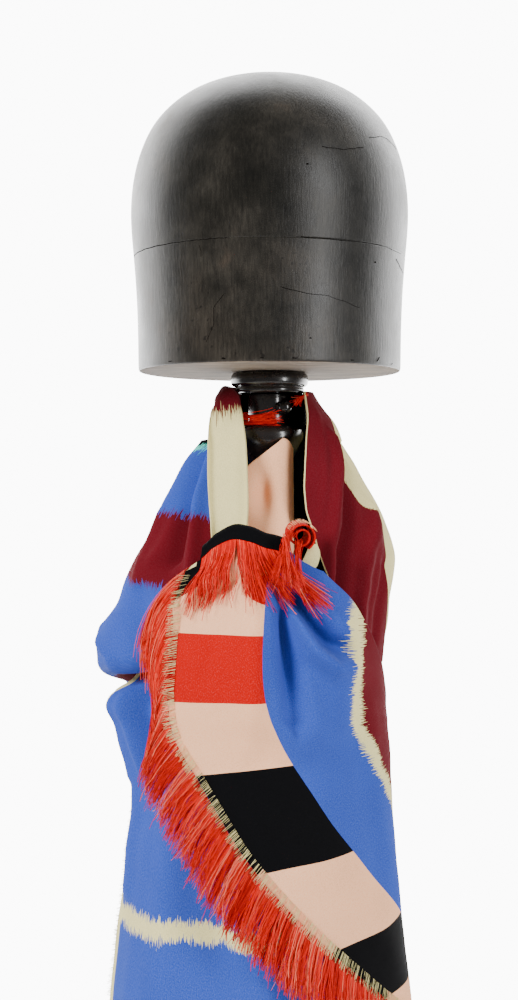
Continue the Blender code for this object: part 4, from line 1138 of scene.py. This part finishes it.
def makeSelvedge():
    # short pale threads across the cut long sides that show
    places, ways, colours = [], [], []

    def along(points, way, count, u, v):
        share = np.sort(random.uniform(0, len(points) - 1.001, count))
        low = share.astype(int)
        part = (share - low)[:, None]
        places.append(points[low] * (1 - part) + points[low + 1] * part)
        ways.append(np.broadcast_to(way, (count, 3)))
        colours.append(np.stack([np.full(count, u), np.full(count, v)], axis=1))

    height = np.linspace(521, 135, 80)
    angle = np.full(80, underTail["first"] + 1.0)
    out = polar(angle, underRadius(angle, height) + 0.5, height)
    along(out, np.array((-1.0, -0.5, -0.15)) * 3.2, 900, *paleCloth)
    height = np.linspace(693, 600, 60)
    first = readTable(rightStrand["spans"], 1, height)
    radius = ovalRadius(rightStrand["sections"], first, height)
    radius = radius + foldLift(rightStrand["folds"], first, height, radius)
    along(polar(first + 0.4, radius + 0.3, height), np.array((-0.9, -0.4, -0.3)), 90, *paleCloth)
    # over the top of the rolled corner's rim
    turn = np.radians(np.linspace(25, 150, 30))[:, None]
    rim = np.array(rolledCorner["centre"]) + np.array(rolledCorner["axis"]) * 8.5
    rim = rim + 9.3 * (np.cos(turn) * (1.0, 0.18, 0.0) + np.sin(turn) * (0.0, -0.12, 1.0))
    along(rim, np.array((-1.0, -0.5, 0.9)) * 2.6, 70, 20.0, 30.0)
    root, way, colour = np.concatenate(places), np.concatenate(ways), np.concatenate(colours)
    count = len(root)
    t = np.linspace(-0.35, 0.65, 3)[None, :, None]
    way = way * random.uniform(0.4, 1.2, (count, 1)) + random.normal(0, 0.25, (count, 3))
    paths = root[:, None] + way[:, None] * t
    thickness = np.full(count, 0.26)
    piece = strandPiece("selvedge_threads", paths, thickness, np.full(count, 0.5), colour)
    return finishPiece(piece, wool, "olive_wool")


# wisps of the fringe that lie inside the neck, and the ends that leave the rolled corner
wisps = [
    # threads, start, middle, end, spread
    (46, (-19.0, -13.0, 703.0), (-8.0, -18.5, 701.5), (2.0, -18.5, 703.0), 1.9),
    (30, (-17.0, -14.0, 699.0), (-4.0, -18.0, 698.5), (6.0, -18.5, 699.5), 1.3),
    (40, (24.0, -17.5, 717.0), (20.0, -19.5, 715.0), (16.5, -21.0, 711.5), 1.1),
    (60, (12.5, -90.0, 629.0), (7.0, -93.0, 620.0), (5.0, -99.5, 602.0), 2.6),
    (60, (9.5, -93.5, 626.0), (9.0, -97.5, 616.0), (14.0, -98.5, 599.0), 2.4),
    (34, (17.0, -89.0, 623.0), (14.0, -93.5, 612.0), (16.0, -98.0, 598.0), 2.6),
]


def makeLooseThreads():
    paths, tones = [], []
    t = np.linspace(0, 1, 7)[None, :, None]
    for count, start, middle, end, spread in wisps:
        start, middle, end = (np.array(p)[None, None] for p in (start, middle, end))
        loose = [random.normal(0, spread * size, (count, 1, 3)) for size in (0.5, 0.8, 1.3)]
        start, middle, end = start + loose[0], middle + loose[1], end + loose[2]
        paths.append((1 - t) ** 2 * start + 2 * t * (1 - t) * middle + t**2 * end)
        tones.append(np.clip(random.normal(0.45, 0.2, count), 0, 1))
    paths, tones = np.concatenate(paths), np.concatenate(tones)
    piece = strandPiece("loose_threads", paths, np.full(len(paths), 0.45), tones)
    return finishPiece(piece, fringeSilk, "red_fringe")


edgeFringe = makeEdgeFringe()
frayedEdge = makeFrayedEdge()
necklineFringe = makeNecklineFringe()
hemFringe = makeHemFringe()
selvedge = makeSelvedge()
looseThreads = makeLooseThreads()
print("stage: fringes")

# The stand: the hat block on its collar, the post, the knob and the base
# rows of radius and height, sides, rounding steps, and depth over width
hatBlock = {
    "rows": [
        (83.0, 732.6), (85.2, 732.6), (86.0, 733.1), (86.3, 734.2), (86.4, 737), (86.6, 760),
        (87.6, 785), (89.2, 804.5), (89.35, 806.2), (89.4, 806.9), (89.1, 807.1), (89.1, 807.5),
        (89.45, 807.7), (89.5, 808.4), (91.2, 826), (91.4, 841), (90.2, 855), (87.4, 869),
        (82.6, 882.5), (76.2, 894.5), (66.5, 905), (55, 913.6), (42, 919.6), (28, 923.6),
        (14, 925.8), (5, 926.35), (1.2, 926.5),
    ],
    "around": 64, "levels": 2, "depthShare": 1.10,
}


def turnedPiece(name, shape):
    # turned from a disc: each row is an extrusion upwards, resized to its radius
    rows, around, levels = shape["rows"], shape["around"], shape["levels"]
    bpy.ops.object.select_all(action="DESELECT")
    bpy.ops.mesh.primitive_circle_add(vertices=around, radius=rows[0][0] * mm, fill_type="NGON")
    piece = bpy.context.object
    piece.name = name
    bpy.ops.object.mode_set(mode="EDIT")
    bpy.ops.transform.translate(value=(0, 0, rows[0][1] * mm))
    for (before, low), (radius, height) in zip(rows, rows[1:]):
        step = (0, 0, (height - low) * mm)
        bpy.ops.mesh.extrude_region_move(TRANSFORM_OT_translate={"value": step})
        scale = radius / before
        bpy.ops.transform.resize(value=(scale, scale, 1), center_override=(0, 0, height * mm))
    bpy.ops.mesh.select_all(action="SELECT")
    bpy.ops.transform.resize(value=(1, shape["depthShare"], 1), center_override=(0, 0, 0))
    bpy.ops.mesh.normals_make_consistent(inside=False)
    bpy.ops.object.mode_set(mode="OBJECT")
    smoother = piece.modifiers.new("rounding", "SUBSURF")
    smoother.levels = levels
    smoother.render_levels = levels
    bpy.ops.object.modifier_apply(modifier=smoother.name)
    bpy.ops.object.shade_smooth_by_angle(angle=math.radians(35))
    return piece


def waxedWood(name):
    # old poplar, stained and waxed nearly black: satin, with rubbed and reddened places
    material, tree = newMaterial(name)
    place = addNode(tree, "ShaderNodeTexCoord").outputs["Object"]
    upright = addNode(tree, "ShaderNodeMapping", {0: place, 3: (1.0, 1.0, 0.12)}).outputs[0]

    def grained(where, scale, detail, roughness):
        settings = {0: where, "Scale": scale, "Detail": detail, "Roughness": roughness}
        return addNode(tree, "ShaderNodeTexNoise", settings).outputs["Fac"]

    scratches = grained(upright, 700.0, 4.0, 0.7)   # 1.4 mm apart and 12 mm long
    mottle = grained(place, 22.0, 6.0, 0.62)        # 45 mm
    rubbed = grained(place, 9.0, 5.0, 0.6)          # 110 mm
    pitted = grained(place, 260.0, 2.0, 0.5)        # 4 mm
    dark = addNode(tree, "ShaderNodeValToRGB", {0: mottle})
    setStops(dark, [(0.32, "#0E0D0A"), (0.48, "#191713"), (0.62, "#282520"), (0.78, "#3C3229")])
    scuff = addNode(tree, "ShaderNodeMapRange", {0: rubbed, 1: 0.52, 2: 0.72, 3: 0.0, 4: 0.6})
    colour = addNode(tree, "ShaderNodeMix", {
        0: scuff.outputs[0], 6: dark.outputs[0], 7: linear("#423B33")}, data_type="RGBA")
    # small pits gather where the skin is rubbed
    pits = addNode(tree, "ShaderNodeMath", {0: pitted, 1: rubbed}, operation="MULTIPLY")
    pitShare = addNode(tree, "ShaderNodeMapRange", {
        0: pits.outputs[0], 1: 0.385, 2: 0.42, 3: 0.0, 4: 0.75})
    colour = addNode(tree, "ShaderNodeMix", {
        0: pitShare.outputs[0], 6: colour.outputs[2], 7: linear("#0A0806")}, data_type="RGBA")
    streaks = addNode(tree, "ShaderNodeMapRange", {0: scratches, 1: 0.3, 2: 0.7, 3: 0.55, 4: 1.5})
    shaded = addNode(tree, "ShaderNodeHueSaturation", {
        "Value": streaks.outputs[0], "Color": colour.outputs[2]})
    rough = addNode(tree, "ShaderNodeMapRange", {0: mottle, 1: 0.3, 2: 0.7, 3: 0.33, 4: 0.52})
    bump = addNode(tree, "ShaderNodeBump", {
        "Strength": 0.4, "Distance": 0.0004, "Height": scratches})
    dents = addNode(tree, "ShaderNodeBump", {
        "Strength": 0.4, "Distance": 0.0014, "Height": mottle, "Normal": bump.outputs[0]})
    shader = addNode(tree, "ShaderNodeBsdfPrincipled", {
        "Base Color": shaded.outputs[0], "Roughness": rough.outputs[0], "Normal": dents.outputs[0],
        "Specular IOR Level": 0.34, "Coat Weight": 0.06, "Coat Roughness": 0.3})
    endMaterial(tree, shader)
    return material


def bareWood(name):
    # the block's unfinished underside: dry, pale and grey with handling
    material, tree = newMaterial(name)
    place = addNode(tree, "ShaderNodeTexCoord").outputs["Object"]
    along = addNode(tree, "ShaderNodeMapping", {0: place, 3: (0.15, 1.0, 1.0)}).outputs[0]
    # grain of 4.5 mm across, and grime in patches of 30 mm
    grain = addNode(tree, "ShaderNodeTexNoise", {
        0: along, "Scale": 220.0, "Detail": 5.0, "Roughness": 0.65})
    grime = addNode(tree, "ShaderNodeTexNoise", {0: place, "Scale": 35.0, "Detail": 4.0})
    pale = addNode(tree, "ShaderNodeValToRGB", {0: grain.outputs["Fac"]})
    setStops(pale, [(0.3, "#4C4238"), (0.5, "#7A6C5C"), (0.7, "#9C8E7C")])
    dirt = addNode(tree, "ShaderNodeMapRange", {
        0: grime.outputs["Fac"], 1: 0.45, 2: 0.7, 3: 0.0, 4: 0.7})
    colour = addNode(tree, "ShaderNodeMix", {
        0: dirt.outputs[0], 6: pale.outputs[0], 7: linear("#5F564C")}, data_type="RGBA")
    bump = addNode(tree, "ShaderNodeBump", {
        "Strength": 0.4, "Distance": 0.0005, "Height": grain.outputs["Fac"]})
    shader = addNode(tree, "ShaderNodeBsdfPrincipled", {
        "Base Color": colour.outputs[2], "Roughness": 0.85, "Normal": bump.outputs[0]})
    endMaterial(tree, shader)
    return material


def blackLacquer(name):
    # turned wood in old black lacquer: glossy, a little uneven
    material, tree = newMaterial(name)
    place = addNode(tree, "ShaderNodeTexCoord").outputs["Object"]
    # wear in patches of 17 mm
    wear = addNode(tree, "ShaderNodeTexNoise", {0: place, "Scale": 60.0, "Detail": 5.0})
    colour = addNode(tree, "ShaderNodeValToRGB", {0: wear.outputs["Fac"]})
    setStops(colour, [(0.35, "#0E0C0B"), (0.6, "#1B1614"), (0.8, "#33251F")])
    rough = addNode(tree, "ShaderNodeMapRange", {
        0: wear.outputs["Fac"], 1: 0.3, 2: 0.7, 3: 0.16, 4: 0.34})
    shader = addNode(tree, "ShaderNodeBsdfPrincipled", {
        "Base Color": colour.outputs[0], "Roughness": rough.outputs[0], "Coat Weight": 0.4,
        "Coat Roughness": 0.12})
    endMaterial(tree, shader)
    return material


waxed, bare = waxedWood("waxed_dark_poplar"), bareWood("bare_worn_poplar")
lacquer = blackLacquer("black_lacquer")

blockPiece = turnedPiece("hat_block_crown", hatBlock)
finishPiece(blockPiece, waxed, "dark_wood", "hat_block")
blockPiece.data.materials.append(bare)
# the underside, left bare
for face in blockPiece.data.polygons:
    if face.normal.z < -0.9 and face.center.z < 734 * mm:
        face.material_index = 1

collar = {
    "rows": [
        (20.0, 718.5), (21.6, 718.5), (22.0, 718.8), (22.7, 719.6), (22.9, 720.6), (22.7, 721.6),
        (22.3, 722.4), (23.2, 722.9), (24.6, 723.6), (25.4, 724.8), (25.7, 726.4), (25.7, 728.6),
        (25.3, 730.4), (24.4, 731.6), (23.2, 732.2), (20.0, 732.3), (2.0, 732.3),
    ],
    "around": 64, "levels": 1, "depthShare": 1.0,
}
collarPiece = turnedPiece("collar_rings", collar)
finishPiece(collarPiece, lacquer, "black_lacquer", "block_collar")

post = {
    "rows": [
        (26.5, 20.3), (28.0, 20.6), (28.0, 23.0), (27.2, 27.0), (24.0, 32.0), (19.5, 38.5), (16.6, 46.0),
        (14.0, 53.0), (11.8, 58.5), (11.0, 66.0), (11.0, 300.0), (11.0, 640.0), (11.0, 668.0),
        (14.5, 674.0), (19.5, 682.0), (22.6, 687.5), (23.0, 690.5), (22.6, 693.5), (21.0, 696.0),
        (17.0, 697.4), (14.4, 698.2), (14.0, 700.0), (14.0, 717.4), (13.4, 718.2), (2.0, 718.2),
    ],
    "around": 48, "levels": 1, "depthShare": 1.0,
}
postPiece = turnedPiece("turned_post", post)
finishPiece(postPiece, lacquer, "black_lacquer", "stand_post")

base = {
    "rows": [
        (146.0, 0.0), (147.5, 0.3), (149.6, 2.2), (150.0, 4.0), (150.0, 10.5), (149.3, 13.2),
        (147.0, 15.6), (144.2, 17.0), (143.6, 17.6), (142.0, 18.6), (137.0, 19.8), (133.0, 20.0),
        (60.0, 20.0), (2.0, 20.0),
    ],
    "around": 96, "levels": 1, "depthShare": 1.0,
}
basePiece = turnedPiece("turned_base", base)
finishPiece(basePiece, waxed, "dark_wood", "stand_base")

# the screw's ball, turned on a short neck, set at an angle on the collar
knob = {
    "rows": [
        (2.0, 13.2), (3.6, 13.3), (3.8, 13.7), (3.5, 14.2), (2.5, 14.6), (2.3, 15.0), (2.9, 15.3),
        (4.0, 16.4), (4.5, 17.8), (4.6, 19.0), (4.4, 20.4), (3.7, 21.8), (2.6, 22.9), (1.3, 23.4),
        (0.3, 23.5),
    ],
    "around": 28, "levels": 1, "depthShare": 1.0,
    "height": 709.0, "angle": 32.0,
}
knobPiece = turnedPiece("ball_knob", knob)
level = Matrix.Rotation(math.radians(90), 4, "X")
turned = Matrix.Rotation(math.radians(knob["angle"]), 4, "Z")
knobPiece.data.transform(Matrix.Translation((0, 0, knob["height"] * mm)) @ turned @ level)
finishPiece(knobPiece, lacquer, "black_lacquer", "screw_knob")

# fine cracks in the block's skin and its pin holes, drawn as dark lines that paint the shade inside
# them: thickness, and a line of angles and heights
blockMarks = [
    (0.5, [(20.8, 863), (30, 862.5), (36, 864.5), (41.5, 866.5)]),
    (0.45, [(46, 874), (58, 878), (66, 876.5), (72, 874)]),
    (0.6, [(4, 777.5), (13.5, 774), (23.5, 773), (32, 770), (39.5, 767)]),
    (0.55, [(-19, 773.5), (-23.4, 766), (-23.4, 755.5), (-27, 745)]),
    (1.3, [(-89, 807.3), (-75, 807.3), (-58, 807.3)]),
    (0.9, [(-58, 807.3), (-40, 807.3), (-30, 807.3)]),
    (0.6, [(-30, 807.3), (-24, 807.5), (-17, 807.4)]),
    (0.6, [(12, 807.6), (28, 807), (46, 807.4), (70, 806)]),
    (0.5, [(65, 801), (72, 797), (80, 795)]), (0.35, [(-29, 804), (-28.4, 800), (-28.6, 797)]),
    (1.6, [(14.0, 851.5), (14.7, 851.5)]), (1.6, [(47.2, 796.5), (47.9, 796.5)]),
    (1.6, [(16.0, 747.0), (16.7, 747.0)]), (1.3, [(64.6, 801.5), (65.2, 801.5)]),
    # nicks in the lower rim
    (1.3, [(-20, 735.0), (-18.4, 734.6)]), (1.0, [(-4, 734.9), (-2.6, 734.7)]),
    (1.2, [(9, 734.8), (11, 734.7)]), (1.4, [(51, 735.5), (52.5, 738.0)]),
    (1.1, [(63, 734.9), (65, 735.4)]), (0.9, [(-47, 734.8), (-45, 734.9)]),
    (1.0, [(35, 734.7), (36.6, 734.8)]), (1.2, [(120, 735), (123, 735.2)]),
    (1.1, [(205, 735), (208, 734.7)]),
]


def makeBlockMarks():
    heights = np.array([row[1] for row in hatBlock["rows"]])
    radii = np.array([row[0] for row in hatBlock["rows"]])
    paths, sizes = [], []
    t = np.linspace(0, 1, 24)
    for size, line in blockMarks:
        angle = np.interp(t, np.linspace(0, 1, len(line)), [p[0] for p in line])
        height = np.interp(t, np.linspace(0, 1, len(line)), [p[1] for p in line])
        waver = min(0.2, abs(line[0][0] - line[-1][0]) * 0.012)   # long cracks aren't quite even
        height = height + waver * np.sin(23 * t + 5 * size)
        radius = np.interp(height, heights, radii) - 0.08 * size
        paths.append(polar(angle, radius, height) * (1, hatBlock["depthShare"], 1))
        sizes.append(size * 0.7)
    piece = strandPiece("block_cracks", np.array(paths), np.array(sizes), np.zeros(len(paths)))
    material, tree = newMaterial("painted_shade_in_cracks")
    place = addNode(tree, "ShaderNodeTexCoord").outputs["Object"]
    # painted shade in the cracks, holes and nicks, uneven in specks of 3 mm
    grime = addNode(tree, "ShaderNodeTexNoise", {0: place, "Scale": 300.0, "Detail": 3.0})
    ramp = addNode(tree, "ShaderNodeValToRGB", {"Fac": grime.outputs["Fac"]})
    setStops(ramp, [(0.3, "#050403"), (0.8, "#15100C")])
    endMaterial(tree, addNode(tree, "ShaderNodeBsdfPrincipled", {
        "Base Color": ramp.outputs[0], "Roughness": 0.95, "Specular IOR Level": 0.05}))
    finishPiece(piece, material, "dark_wood")


makeBlockMarks()
print("stage: stand")
